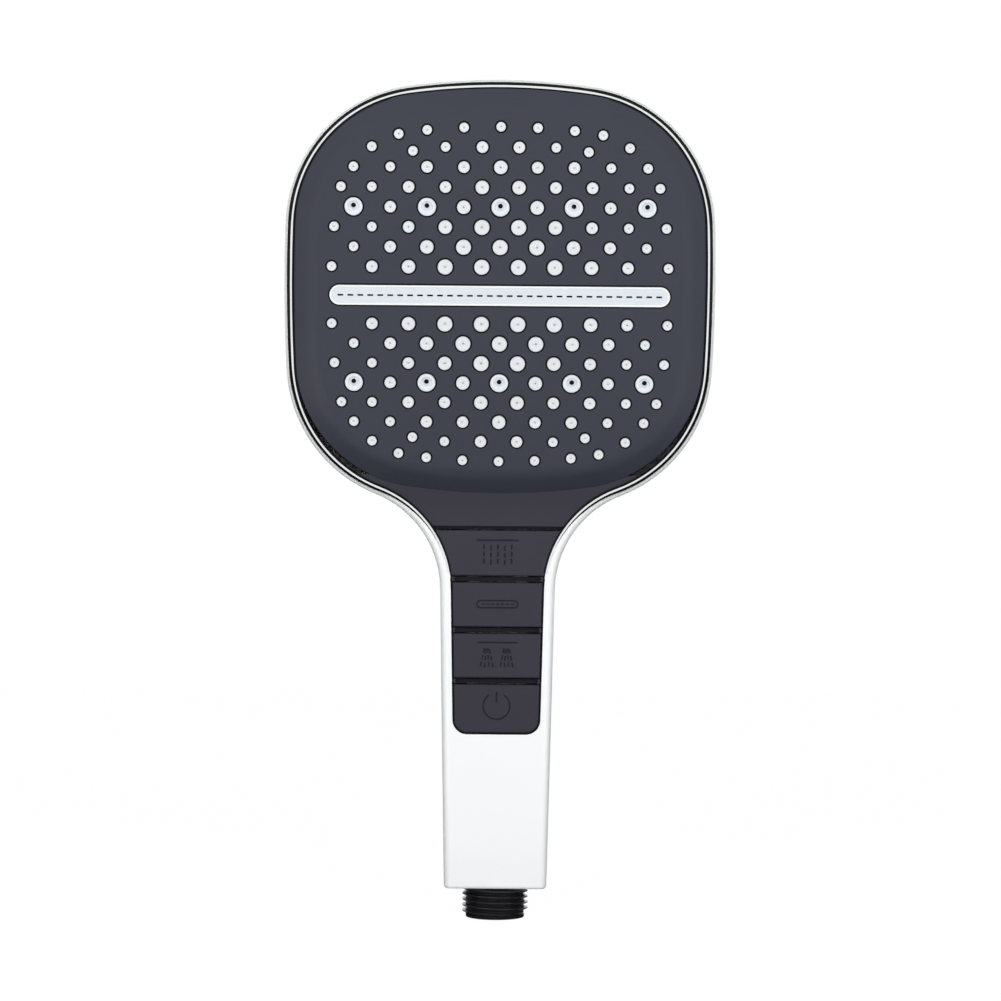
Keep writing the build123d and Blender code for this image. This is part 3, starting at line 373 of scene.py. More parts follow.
def quarterField():
    rain, jets = [], []
    small, last = field["small"], field["rows"]
    for row in range(1, last + 1):
        y = field["firstRow"] + field["rowPitch"] * (row - 1)
        for step in range(row % 2, field["lastStep"] + 1, 2):
            x = field["columnPitch"] * step / 2
            if row == field["jetRow"] and step % field["jetEvery"] == 0:
                jets.append((x, y, 1))
            elif row == last and step == field["squeezedStep"]:
                rain.append((x - field["squeeze"], y - field["squeeze"], small))
            elif row == last and step == field["edgeStep"]:
                rain.append((x, edgeReach(x), small))
            else:
                rain.append((x, y, tipSize(row, step)))
        if row in field["edgeRows"]:
            rain.append((edgeReach(y), y, small))
    for step in field["ringSteps"]:
        x = field["columnPitch"] * step
        rain.append((x, edgeReach(x), small))
    return rain, jets


def fieldMesh(name, places):
    # One vertex a tip in all four quarters, each with its diameter
    spread = []
    for x, y, size in places:
        for side in ((1, -1) if x else (1,)):
            spread += [(x * side, y, size), (x * side, -y, size)]
    mesh = bpy.data.meshes.new(name)
    mesh.from_pydata([(x * mm, y * mm, 0) for x, y, _ in spread], [], [])
    widths = mesh.attributes.new("tipSize", "FLOAT", "POINT")
    widths.data.foreach_set("value", [size for _, _, size in spread])
    return mesh


def makeTipTree():
    tree, given, result = newGeometryTree("spreadTips", Object=["Tip"], Float=["Height"])
    tip = addNode(tree, "GeometryNodeObjectInfo")
    width = setInputs(addNode(tree, "GeometryNodeInputNamedAttribute", data_type="FLOAT"), {"Name": "tipSize"})
    scale = addNode(tree, "ShaderNodeCombineXYZ")
    spread = addNode(tree, "GeometryNodeInstanceOnPoints")
    wire(tree,
         (given, "Tip", tip, "Object"), (width, "Attribute", scale, "X"), (width, "Attribute", scale, "Y"),
         (given, "Height", scale, "Z"), (given, "Geometry", spread, "Points"),
         (tip, "Geometry", spread, "Instance"), (scale, 0, spread, "Scale"))
    closeTree(tree, given, result, spread, "Instances")
    return tree


# Rain tip for a diameter of 1: skirt, crisp lip (radius and drop from the top), dished end and outlet
rainTip = dict(segments=20, foot=-0.9, radius=0.5, top=2.2,
               lip=((0.497, 0.16), (0.487, 0.05), (0.465, 0), (0.40, 0.01)),
               dishR=0.16, dish=2.13, boreR=0.06, boreEase=0.03, boreFoot=1.0)
# Jet: collar, lip, and in its recess a slanted nub with the outlet, whose dark fill is painted shade
jetTip = dict(segments=40, foot=-2.5, top=1.9, radius=2.8, lip=0.2, lipBow=0.3, mouth=1.75, mouthEdge=0.12,
              mouthEase=0.02, mouthDrop=0.05, mouthDraft=0.06, recess=0.8, nub=1.5, throat=0.76, outlet=0.25,
              outletEdge=0.08, outletDrop=0.03, shift=0.5,
              boreShadeFit=1.01, boreShadeDrop=0.12, boreShadeDepth=0.6, boreShadeSegments=32)
# Dark ring in the gap round each tip, which is painted shade, for a diameter of 1
tipSeal = dict(segments=28, outer=0.5, inner=0.3, low=0.8, high=1.315)


def rainTipMesh():
    tip = rainTip
    profile = [(tip["radius"], tip["foot"])]
    profile += [(radius, tip["top"] - drop) for radius, drop in tip["lip"]]
    profile += [(tip["dishR"], tip["dish"]), (tip["boreR"], tip["dish"] - tip["boreEase"]),
                (tip["boreR"], tip["boreFoot"]), (0, tip["boreFoot"])]
    return lathe("rainTip", profile, tip["segments"])


def jetTipMesh():
    tip = jetTip
    foot, top, lip, radius, mouth = tip["foot"], tip["top"], tip["lip"], tip["radius"], tip["mouth"]
    bow, floorLevel, out, throat = lip * tip["lipBow"], top - tip["recess"], top + tip["outlet"], tip["throat"]
    profile = [(radius, foot), (radius, top - lip), (radius - bow, top - bow), (radius - lip, top),
               (mouth + tip["mouthEdge"], top), (mouth + tip["mouthEase"], top - tip["mouthDrop"]),
               (mouth - tip["mouthDraft"], floorLevel), (tip["nub"], floorLevel),
               (throat + tip["outletEdge"], out - tip["outletDrop"], tip["shift"]),
               (throat, out, tip["shift"]), (throat, foot, tip["shift"])]
    return lathe("jetTip", profile, tip["segments"], closed=True)


def boreShadeMesh():
    tip = jetTip
    radius, rise = tip["throat"] * tip["boreShadeFit"], tip["shift"]
    top = tip["top"] + tip["outlet"] - tip["boreShadeDrop"]
    low = top - tip["boreShadeDepth"]
    profile = [(0, low, rise), (radius, low, rise), (radius, top, rise), (0, top, rise)]
    return lathe("borePlug", profile, tip["boreShadeSegments"])


def shadeRingMesh():
    outer, inner, low, high = (tipSeal[label] for label in ("outer", "inner", "low", "high"))
    profile = [(outer, low), (outer, high), (inner, high), (inner, low)]
    return lathe("tipSeal", profile, tipSeal["segments"], closed=True)


def placeTips():
    tree = makeTipTree()
    rain, jets = quarterField()
    shadeRings = [(x, y, size + field["shadeRingMargin"]) for x, y, size in rain]
    shadeRings += [(x, y, field["jetShadeRing"]) for x, y, _ in jets]
    rows = (
        ("rainNozzles", rainTipMesh(), rain, "whiteSilicone", "silicone", ["nozzle_mat"]),
        ("jetNozzles", jetTipMesh(), jets, "jetPlastic", "jets", ["jet_nozzles"]),
        # The outlets' dark fill and the rings round the tips are painted shade
        ("jetBores", boreShadeMesh(), jets, "boreDark", "seal_rubber", []),
        ("nozzleSeals", shadeRingMesh(), shadeRings, "boreDark", "seal_rubber", []),
    )
    for name, mesh, places, look, slot, replaced in rows:
        source = newPiece(mesh.name, mesh)
        values = {"Tip": source, "Height": 1.0, "Material": finish[look]}
        piece = growPiece(name, fieldMesh(name + "Field", places), tree, values, onFace)
        bpy.data.objects.remove(source)
        dress(piece, "handset", slot, *replaced)
    print("nozzles placed,", len(rain), "rain places and", len(jets), "jet places a quarter")


placeTips()


# Waterfall strip: a raised rim, a dark band round the moulding and dark blocks that stand in its slits; the
# band and the blocks are painted shade
strip = dict(
    rim=dict(length=106.0, height=6.2, width=0.55, low=1.7, high=1.95, rounding=0.1),
    # The seal row is the dark band of painted shade in the gap round the moulding
    seal=dict(length=107.0, height=7.2, width=0.8, low=0.8, high=1.315, rounding=0.02),
    endSteps=14, endShare=0.4999, edgeSteps=3,
    slits=33, slitPitch=3.1, slitSize=(1.78, 0.54, 0.3), slitLevel=1.68)


def makeBandTree():
    # A band of rounded section along the inside of a round-ended outline
    sizes = ["Length", "Height", "Width", "Thickness", "Level", "Rounding"]
    tree, given, result = newGeometryTree("stripBand", Float=sizes)
    path = addNode(tree, "GeometryNodeCurvePrimitiveQuadrilateral")
    bend = setInputs(addNode(tree, "GeometryNodeFilletCurve", mode="POLY"), {"Count": strip["endSteps"]})
    turned = addNode(tree, "GeometryNodeSetCurveNormal", mode="Z_UP")
    section = addNode(tree, "GeometryNodeCurvePrimitiveQuadrilateral")
    soften = setInputs(addNode(tree, "GeometryNodeFilletCurve", mode="POLY"), {"Count": strip["edgeSteps"]})
    band = addNode(tree, "GeometryNodeCurveToMesh")
    crisp = setInputs(addNode(tree, "GeometryNodeSetShadeSmooth"), {"Shade Smooth": False})
    place = addNode(tree, "ShaderNodeCombineXYZ")
    lift = addNode(tree, "GeometryNodeTransform")
    innerLength, innerHeight = addMath(tree, "SUBTRACT"), addMath(tree, "SUBTRACT")
    endRadius = addMath(tree, "MULTIPLY", strip["endShare"])
    wire(tree,
         (given, "Length", innerLength, 0), (given, "Width", innerLength, 1), (innerLength, 0, path, "Width"),
         (given, "Height", innerHeight, 0), (given, "Width", innerHeight, 1), (innerHeight, 0, path, "Height"),
         (innerHeight, 0, endRadius, 0), (endRadius, 0, bend, "Radius"), (path, "Curve", bend, "Curve"),
         (bend, "Curve", turned, "Curve"), (given, "Width", section, "Width"),
         (given, "Thickness", section, "Height"), (section, "Curve", soften, "Curve"),
         (given, "Rounding", soften, "Radius"), (turned, "Curve", band, "Curve"),
         (soften, "Curve", band, "Profile Curve"), (band, "Mesh", crisp, "Geometry"),
         (given, "Level", place, "Z"), (crisp, "Geometry", lift, "Geometry"), (place, 0, lift, "Translation"))
    closeTree(tree, given, result, lift, "Geometry")
    return tree


def makeSlitTree():
    # A row of small blocks, centred on the strip
    inputs = dict(Int=["Count"], Float=["Pitch", "Level"], Vector=["Size"])
    tree, given, result = newGeometryTree("slitFloors", **inputs)
    row = addNode(tree, "GeometryNodeMeshLine")
    step, start = addNode(tree, "ShaderNodeCombineXYZ"), addNode(tree, "ShaderNodeCombineXYZ")
    gaps = addMath(tree, "SUBTRACT", 1)
    half = addMath(tree, "MULTIPLY", -0.5)
    first = addMath(tree, "MULTIPLY")
    block = addNode(tree, "GeometryNodeMeshCube")
    spread = addNode(tree, "GeometryNodeInstanceOnPoints")
    wire(tree,
         (given, "Count", row, "Count"), (given, "Count", gaps, 0), (gaps, 0, half, 0), (half, 0, first, 0),
         (given, "Pitch", first, 1), (first, 0, start, "X"), (given, "Level", start, "Z"),
         (given, "Pitch", step, "X"), (start, 0, row, "Start Location"), (step, 0, row, "Offset"),
         (given, "Size", block, "Size"), (row, "Mesh", spread, "Points"), (block, "Mesh", spread, "Instance"))
    closeTree(tree, given, result, spread, "Instances")
    return tree


def layStrip():
    tree = makeBandTree()
    bands = (("stripRim", strip["rim"], "satinShell", "jets"),
             ("stripSeal", strip["seal"], "boreDark", "seal_rubber"))
    for name, band, look, slot in bands:
        low, high = band["low"], band["high"]
        values = {"Length": band["length"] * mm, "Height": band["height"] * mm, "Width": band["width"] * mm,
                  "Thickness": (high - low) * mm, "Level": (low + high) / 2 * mm,
                  "Rounding": band["rounding"] * mm, "Material": finish[look]}
        dress(growPiece(name, bpy.data.meshes.new(name), tree, values, onFace), "handset", slot)
    values = {"Count": strip["slits"], "Pitch": strip["slitPitch"] * mm, "Level": strip["slitLevel"] * mm,
              "Size": [side * mm for side in strip["slitSize"]], "Material": finish["boreDark"]}
    slitShade = growPiece("slitFloors", bpy.data.meshes.new("slitFloors"), makeSlitTree(), values, onFace)
    dress(slitShade, "handset", "seal_rubber")
    paint(nodes["waterfall_strip"].data, "stripPlastic")
    print("strip finished,", strip["slits"], "slits")


layStrip()


# Signs sunk into the keys: strokes in millimetres from a key's middle, x across and z up
marks = dict(width=0.52, sides=10, spare=0.01)
rainMark = dict(bar=6.7, barZ=4.2, strands=(-4.35, -2.15, 0.05, 2.2, 4.4), top=2.9, foot=-3.6, lag=0.35,
                dash=1.55, gap=0.7)
waterfallMark = dict(half=6.45, endR=1.12, z=0.15, endSteps=10, dashes=7, firstDash=(-5.0, -4.1), pitch=1.55)
massageMark = dict(bar=6.4, barZ=4.2, sprays=(-3.2, 3.05), strands=4, topSpread=1.5, footSpread=4.2, top=2.4,
                   foot=-3.9, lag=0.25, dash=1.5, gap=0.65)
pauseMark = dict(z=0.25, radius=4.2, first=125, last=415, steps=40, stemTop=4.75, stemFoot=1.5)


def fallingDashes(sign, x0, x1, turn):
    # Dashes down a straight strand from x0 at its top to x1 at its foot, and every other strand starts lower
    top, foot, dash = sign["top"], sign["foot"], sign["dash"]
    strokes, z = [], top - sign["lag"] * (turn % 2)
    while z - dash >= foot - marks["spare"]:
        strokes.append([(x0 + (x1 - x0) * (top - level) / (top - foot), level) for level in (z, z - dash)])
        z -= dash + sign["gap"]
    return strokes


def barStroke(sign):
    return [(-sign["bar"], sign["barZ"]), (sign["bar"], sign["barZ"])]


def arcStroke(x, z, radius, first, last, count):
    turns = [radians(first + (last - first) * k / count) for k in range(count + 1)]
    return [(x + radius * cos(a), z + radius * sin(a)) for a in turns]


def rainSign():
    strokes = [barStroke(rainMark)]
    for turn, x in enumerate(rainMark["strands"]):
        strokes += fallingDashes(rainMark, x, x, turn)
    return strokes


def waterfallSign():
    sign = waterfallMark
    radius, z, steps = sign["endR"], sign["z"], sign["endSteps"]
    half = sign["half"] - radius
    right = arcStroke(half, z, radius, -90, 90, steps)
    left = arcStroke(-half, z, radius, 90, 270, steps)
    strokes = [right + left + right[:1]]
    strokes += [[(x + sign["pitch"] * k, z) for x in sign["firstDash"]] for k in range(sign["dashes"])]
    return strokes


def massageSign():
    sign = massageMark
    strokes = [barStroke(sign)]
    for middle in sign["sprays"]:
        for turn in range(sign["strands"]):
            spread = turn / (sign["strands"] - 1) - 0.5
            x0, x1 = middle + sign["topSpread"] * spread, middle + sign["footSpread"] * spread
            strokes += fallingDashes(sign, x0, x1, turn)
    return strokes


def pauseSign():
    sign = pauseMark
    ring = arcStroke(0, sign["z"], sign["radius"], sign["first"], sign["last"], sign["steps"])
    return [ring, [(0, sign["stemTop"]), (0, sign["stemFoot"])]]


keySigns = {"key_rain": rainSign(), "key_waterfall": waterfallSign(), "key_massage": massageSign(),
            "key_pause": pauseSign()}


def makeStrokeTree():
    tree, given, result = newGeometryTree("sunkStrokes", Float=["Radius"], Int=["Sides"])
    path = addNode(tree, "GeometryNodeMeshToCurve")
    section = addNode(tree, "GeometryNodeCurvePrimitiveCircle")
    tube = setInputs(addNode(tree, "GeometryNodeCurveToMesh"), {"Fill Caps": True})
    wire(tree,
         (given, "Geometry", path, "Mesh"), (given, "Radius", section, "Radius"),
         (given, "Sides", section, "Resolution"), (path, "Curve", tube, "Curve"),
         (section, "Curve", tube, "Profile Curve"))
    closeTree(tree, given, result, tube, "Mesh")
    return tree


strokeTree = makeStrokeTree()


def strokeMesh(name, strokes, y, middle):
    verts, edges = [], []
    for stroke in strokes:
        closed = stroke[0] == stroke[-1]
        points = stroke[:-1] if closed else stroke
        first = len(verts)
        verts += [(x * mm, y, middle + z * mm) for x, z in points]
        edges += [(first + k, first + k + 1) for k in range(len(points) - 1)]
        if closed:
            edges.append((len(verts) - 1, first))
    mesh = bpy.data.meshes.new(name)
    mesh.from_pydata(verts, edges, [])
    return mesh


# Copies of CAD nodes: how near points are welded, and which faces and edges count as flat or sharp
copies = dict(weld=0.000002, joined=radians(0.2), sharp=radians(35), level=0.99999)


def weldedShape(node):
    shape = bmesh.new()
    shape.from_mesh(nodes[node].data)
    bmesh.ops.remove_doubles(shape, verts=shape.verts, dist=copies["weld"])
    return shape


def weldedCopy(node, name, flatten=False):
    # The CAD node's own shape as one welded mesh, with its flat triangles joined where that is asked
    shape = weldedShape(node)
    if flatten:
        bmesh.ops.dissolve_limit(shape, angle_limit=copies["joined"], verts=shape.verts, edges=shape.edges)
    mesh = bpy.data.meshes.new(name)
    shape.to_mesh(mesh)
    shape.free()
    oldNormals = mesh.attributes.get("custom_normal")
    if oldNormals:
        mesh.attributes.remove(oldNormals)
    return mesh


def shadeCopy(mesh, normal):
    # Rounded edges are smooth, and the faces that look along the normal stay flat
    mesh.shade_smooth()
    mesh.set_sharp_from_angle(angle=copies["sharp"])
    for polygon in mesh.polygons:
        polygon.use_smooth = polygon.normal.dot(normal) < copies["level"]


def engraveKeys():
    for node, strokes in keySigns.items():
        name = node.replace("key_", "") + "Key"
        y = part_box(node)[0][1]
        low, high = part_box(node.replace("key", "plunger"))
        sign = strokeMesh(name + "Sign", strokes, y, (low[2] + high[2]) / 2)
        # The cut faces take the strokes' darker finish, which is painted shade in the sunk signs
        values = {"Radius": marks["width"] / 2 * mm, "Sides": marks["sides"], "Material": finish["keyMark"]}
        cutter = growPiece(name + "Sign", sign, strokeTree, values)
        mesh = weldedCopy(node, name, flatten=True)
        paint(mesh, "keyMatte")
        key = newPiece(name, mesh)
        cut = key.modifiers.new("sign", "BOOLEAN")
        cut.operation = "DIFFERENCE"
        cut.solver = "EXACT"
        cut.object = cutter
        cut.material_mode = "TRANSFER"
        shadeCopy(keepResult(key), Vector((0, -1, 0)))
        bpy.data.objects.remove(cutter)
        dress(key, node, "keys", node)
    print("keys engraved,", len(keySigns))


engraveKeys()


# The front in millimetres: flat on the handle, bent below the head and flat again on the head
front = dict(y=-13.0, bendR=40.0, bendZ=114.275)
# The pad and the frame of the keys are dark below the front, as painted shade, so the gap round them and the
# grooves read black
gaps = dict(padDepth=0.3, frameDepth=0.7)


def frontDepth(place):
    # Millimetres below the handle's front, its bend and the head's front
    bendR = front["bendR"]
    y, z = place[1] / mm - front["y"] + bendR, place[2] / mm - front["bendZ"]
    if z < 0:
        return y - bendR
    turn = min(atan2(z, y), face["tilt"])
    return y * cos(turn) + z * sin(turn) - bendR


def darkenGaps():
    rows = (("face_plate", "sprayPad", "padMatte", "boreDark", "pad", gaps["padDepth"]),
            ("key_frame", "keyFrame", "keyMatte", "grooveDark", "keys", gaps["frameDepth"]))
    for node, name, look, dark, slot, depth in rows:
        mesh = weldedCopy(node, name)
        shadeCopy(mesh, onFace.col[2].xyz)
        paint(mesh, look, dark)
        for polygon in mesh.polygons:
            polygon.material_index = 1 if frontDepth(polygon.center) > depth else 0
        dress(newPiece(name, mesh), "handset", slot, node)
    print("gaps darkened")


darkenGaps()


# Painted shade in the gaps: a dark line between the trim and the pad with its apron, and one on the opening's
# edge along the keys
gapShade = dict(sides=10, padFoot=108.5, lipTop=100.0, lipBand=0.05, frontLimit=0.97, wallLimit=0.2,
             pad=dict(radius=0.29, aside=0.31, drop=0.42), lip=dict(radius=0.2, aside=0.04, drop=0.04))


def frontNormal(place):
    turn = min(max(atan2(place[2] - front["bendZ"] * mm, front["bendR"] * mm), 0), face["tilt"])
    return Vector((0, -cos(turn), -sin(turn)))


def openingEdge(node, accept, aside, drop):
    # Front edge of an opening, moved into the gap: each point goes along its wall's normal and down
    shape = weldedShape(node)
    walls, edges = {}, []
    for edge in shape.edges:
        ends = [corner.co for corner in edge.verts]
        if len(edge.link_faces) != 2 or not all(accept(place) for place in ends):
            continue
        out = frontNormal((ends[0] + ends[1]) / 2)
        wall, flat = sorted(edge.link_faces, key=lambda side: side.normal.dot(out))
        if flat.normal.dot(out) > gapShade["frontLimit"] and abs(wall.normal.dot(out)) < gapShade["wallLimit"]:
            edges.append([corner.index for corner in edge.verts])
            for corner in edge.verts:
                walls[corner.index] = walls.get(corner.index, Vector()) + wall.normal
    shape.verts.ensure_lookup_table()
    order = {index: count for count, index in enumerate(walls)}
    places = []
    for index, normal in walls.items():
        place = shape.verts[index].co
        places.append(place + normal.normalized() * aside * mm - frontNormal(place) * drop * mm)
    shape.free()
    return places, [[order[index] for index in ends] for ends in edges]


def layGapShade(name, node, accept, radius, aside, drop):
    places, edges = openingEdge(node, accept, aside, drop)
    mesh = bpy.data.meshes.new(name)
    mesh.from_pydata(places, edges, [])
    values = {"Radius": radius * mm, "Sides": gapShade["sides"], "Material": finish["boreDark"]}
    dress(growPiece(name, mesh, strokeTree, values), "handset", "seal_rubber")
    print(name, "laid,", len(edges), "edges")


def besidePad(place):
    return place.z > gapShade["padFoot"] * mm


def besideKeys(place):
    return place.z < gapShade["lipTop"] * mm and abs(frontDepth(place)) < gapShade["lipBand"]


layGapShade("padSeal", "trim_ring", besidePad, **gapShade["pad"])
layGapShade("keyLip", "rear_shell", besideKeys, **gapShade["lip"])


# Springs with their joints: joint, the axis it moves along and its travel in millimetres
springs = {"spring_pause": ("press_pause", 1, 2.5), "spring_massage": ("press_massage", 1, 2.5),
           "spring_waterfall": ("press_waterfall", 1, 2.5), "spring_rain": ("press_rain", 1, 2.5),
           "interlock_spring": ("interlock_shift", 2, 1.2)}
# They are a little wider than the CAD's faceted coils, to clear the plungers, and shorten a little more
# than the travel
springFit = dict(slack=0.06, ease=1.05)


def fitSprings():
    for node, (joint, axis, travel) in springs.items():
        low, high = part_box(node)
        along = Vector((0, 0, 0))
        along[axis] = 1
        name = node.replace("spring", "").strip("_") + "Spring"
        mesh = weldedCopy(node, name)
        middle = (low + high) / 2
        for vertex in mesh.vertices:
            eased = middle + (vertex.co - middle) * springFit["ease"]
            eased[axis] = vertex.co[axis]
            vertex.co = eased
        shadeCopy(mesh, Vector((0, 0, 0)))
        paint(mesh, "springSteel")
        piece = newPiece(name, mesh)
        dress(piece, "handset", "steel", node)
        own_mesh(piece)
    print("springs fitted,", len(springs))


fitSprings()


# Hose connector in millimetres: a turned body with its cup and seal groove, and the thread wound round it
connector = dict(
    segments=72, rootR=9.2, leadR=9.35, leadTop=-8.75, leadEase=0.15,
    foot=-10.3, footChamfer=0.45, footBow=0.12, shoulder=-0.05, neckR=8.5, neckTop=14.0,
    boreR=6.0, cupR=7.3, cupTop=-7.1, cupChamfer=0.3,
    grooveR=7.1, grooveLow=11.2, grooveTop=12.6, sharp=radians(32))
# The ridge is sunk a little into the body, and its two ends run out thin
thread = dict(turns=4.9, pitch=1.814, crestR=10.4775, footWidth=1.7, crestWidth=0.3, rounding=0.08, edgeSteps=3,
              foot=-9.05, steps=56, sunk=0.04, runOut=0.07, endSize=0.25)


def connectorMesh():
    turned = connector
    foot, lead, leadTop, root = turned["foot"], turned["leadR"], turned["leadTop"], turned["rootR"]
    chamfer, bow, shoulder, neck = turned["footChamfer"], turned["footBow"], turned["shoulder"], turned["neckR"]
    groove, low, high = turned["grooveR"], turned["grooveLow"], turned["grooveTop"]
    bore, cup, cupTop, cupEdge = turned["boreR"], turned["cupR"], turned["cupTop"], turned["cupChamfer"]
    profile = [(lead - chamfer, foot), (lead - bow, foot + bow), (lead, foot + chamfer),
               (lead, leadTop - turned["leadEase"]), (root, leadTop), (root, shoulder), (neck, shoulder),
               (neck, low), (groove, low), (groove, high), (neck, high), (neck, turned["neckTop"]),
               (bore, turned["neckTop"]), (bore, cupTop), (cup, cupTop),
               (cup, foot + cupEdge), (cup + cupEdge, foot)]
    return lathe("hoseConnector", profile, turned["segments"], closed=True)


def makeThreadTree():
    sizes = ["Turns", "Pitch", "Root Radius", "Depth", "Foot Width", "Crest Width", "Rounding", "Level"]
    tree, given, result = newGeometryTree("hoseThread", Float=sizes)
    coil = setInputs(addNode(tree, "GeometryNodeCurveSpiral"), {"Resolution": thread["steps"]})
    rise = addMath(tree, "MULTIPLY")
    level, out = addNode(tree, "ShaderNodeCombineXYZ"), addNode(tree, "ShaderNodeCombineXYZ")
    lift = addNode(tree, "GeometryNodeTransform")
    turned = addNode(tree, "GeometryNodeSetCurveNormal", mode="Z_UP")
    ridge = setInputs(addNode(tree, "GeometryNodeCurvePrimitiveQuadrilateral", mode="TRAPEZOID"), {"Offset": 0})
    soften = setInputs(addNode(tree, "GeometryNodeFilletCurve", mode="POLY"), {"Count": thread["edgeSteps"]})
    aside = setInputs(addNode(tree, "GeometryNodeTransform"), {"Rotation": (0, 0, pi / 2)})
    middle = addMath(tree, "MULTIPLY", thread["sunk"] - 0.5)
    along = addNode(tree, "GeometryNodeSplineParameter")
    start = setInputs(addNode(tree, "ShaderNodeMapRange"),
                      {"From Max": thread["runOut"], "To Min": thread["endSize"]})
    end = setInputs(addNode(tree, "ShaderNodeMapRange"),
                    {"From Min": 1, "From Max": 1 - thread["runOut"], "To Min": thread["endSize"]})
    taper = addMath(tree, "MULTIPLY")
    wound = setInputs(addNode(tree, "GeometryNodeCurveToMesh"), {"Fill Caps": True})
    whole = addNode(tree, "GeometryNodeJoinGeometry")
    wire(tree,
         (given, "Turns", coil, "Rotations"), (given, "Root Radius", coil, "Start Radius"),
         (given, "Root Radius", coil, "End Radius"), (given, "Turns", rise, 0), (given, "Pitch", rise, 1),
         (rise, 0, coil, "Height"), (given, "Level", level, "Z"), (coil, "Curve", lift, "Geometry"),
         (level, 0, lift, "Translation"), (lift, "Geometry", turned, "Curve"),
         (given, "Depth", ridge, "Height"), (given, "Foot Width", ridge, "Bottom Width"),
         (given, "Crest Width", ridge, "Top Width"), (ridge, "Curve", soften, "Curve"),
         (given, "Rounding", soften, "Radius"), (given, "Depth", middle, 0), (middle, 0, out, "X"),
         (soften, "Curve", aside, "Geometry"), (out, 0, aside, "Translation"),
         (along, "Factor", start, "Value"), (along, "Factor", end, "Value"),
         (start, "Result", taper, 0), (end, "Result", taper, 1),
         (turned, "Curve", wound, "Curve"), (aside, "Geometry", wound, "Profile Curve"),
         (taper, 0, wound, "Scale"), (given, "Geometry", whole, "Geometry"), (wound, "Mesh", whole, "Geometry"))
    closeTree(tree, given, result, whole, "Geometry")
    return tree


def turnConnector():
    root = connector["rootR"]
    depth = (thread["crestR"] - root) / (1 - thread["sunk"])
    values = {"Turns": thread["turns"], "Pitch": thread["pitch"] * mm, "Root Radius": root * mm,
              "Depth": depth * mm, "Foot Width": thread["footWidth"] * mm,
              "Crest Width": thread["crestWidth"] * mm, "Rounding": thread["rounding"] * mm,
              "Level": thread["foot"] * mm, "Material": finish["inletBlack"]}
    piece = growPiece("hoseConnector", connectorMesh(), makeThreadTree(), values)
    piece.data.set_sharp_from_angle(angle=connector["sharp"])
    dress(piece, "handset", "inlet", "inlet_connector")
    print("connector turned,", thread["turns"], "turns of thread")


turnConnector()


# Camera square to the handle, a metre away, rolled a little as the handset leans in the picture
view = dict(place=(0.00074, -1.0, 0.123), roll=radians(0.467), lens=112.2, sensor=36, farthest=50)


def placeCamera():
    data = bpy.data.cameras.new("studioCamera")
    data.lens = view["lens"]
    data.sensor_width = view["sensor"]
    data.clip_end = view["farthest"]
    camera = bpy.data.objects.new("studioCamera", data)
    turn = Matrix.Rotation(pi / 2, 4, "X") @ Matrix.Rotation(view["roll"], 4, "Z")
    camera.matrix_world = Matrix.Translation(view["place"]) @ turn
    bpy.context.scene.collection.objects.link(camera)
    bpy.context.scene.camera = camera


# Softboxes left and right of the camera, a weaker pair behind, and an even room
studio = dict(boxSize=(0.7, 1.4), front=dict(place=(0.55, -1.5, 0.5), power=11.8),
              back=dict(place=(1.1, 1.2, 0.6), power=3.0), aim=(0, 0, 0.13), room=0.4)


def softbox(name, place, power):
    data = bpy.data.lights.new(name, "AREA")
    data.shape = "RECTANGLE"
    data.size, data.size_y = studio["boxSize"]
    data.energy = power
    lamp = bpy.data.objects.new(name, data)
    aim = Vector(studio["aim"]) - Vector(place)
    lamp.matrix_world = Matrix.Translation(place) @ aim.to_track_quat("-Z", "Y").to_matrix().to_4x4()
    lamp.visible_glossy = False
    bpy.context.scene.collection.objects.link(lamp)


def lightStudio():
    for label, side in (("Left", -1), ("Right", 1)):
        for end in ("front", "back"):
            x, y, z = studio[end]["place"]
            softbox(end + "Softbox" + label, (side * x, y, z), studio[end]["power"])


# What polished surfaces see: a bright front, dark flags all round at the sides, and the white sweep behind
reflections = dict(stops=((0.0, 1.0), (0.25, 1.0), (0.31, 0.02), (0.70, 0.02), (0.735, 1.0)))


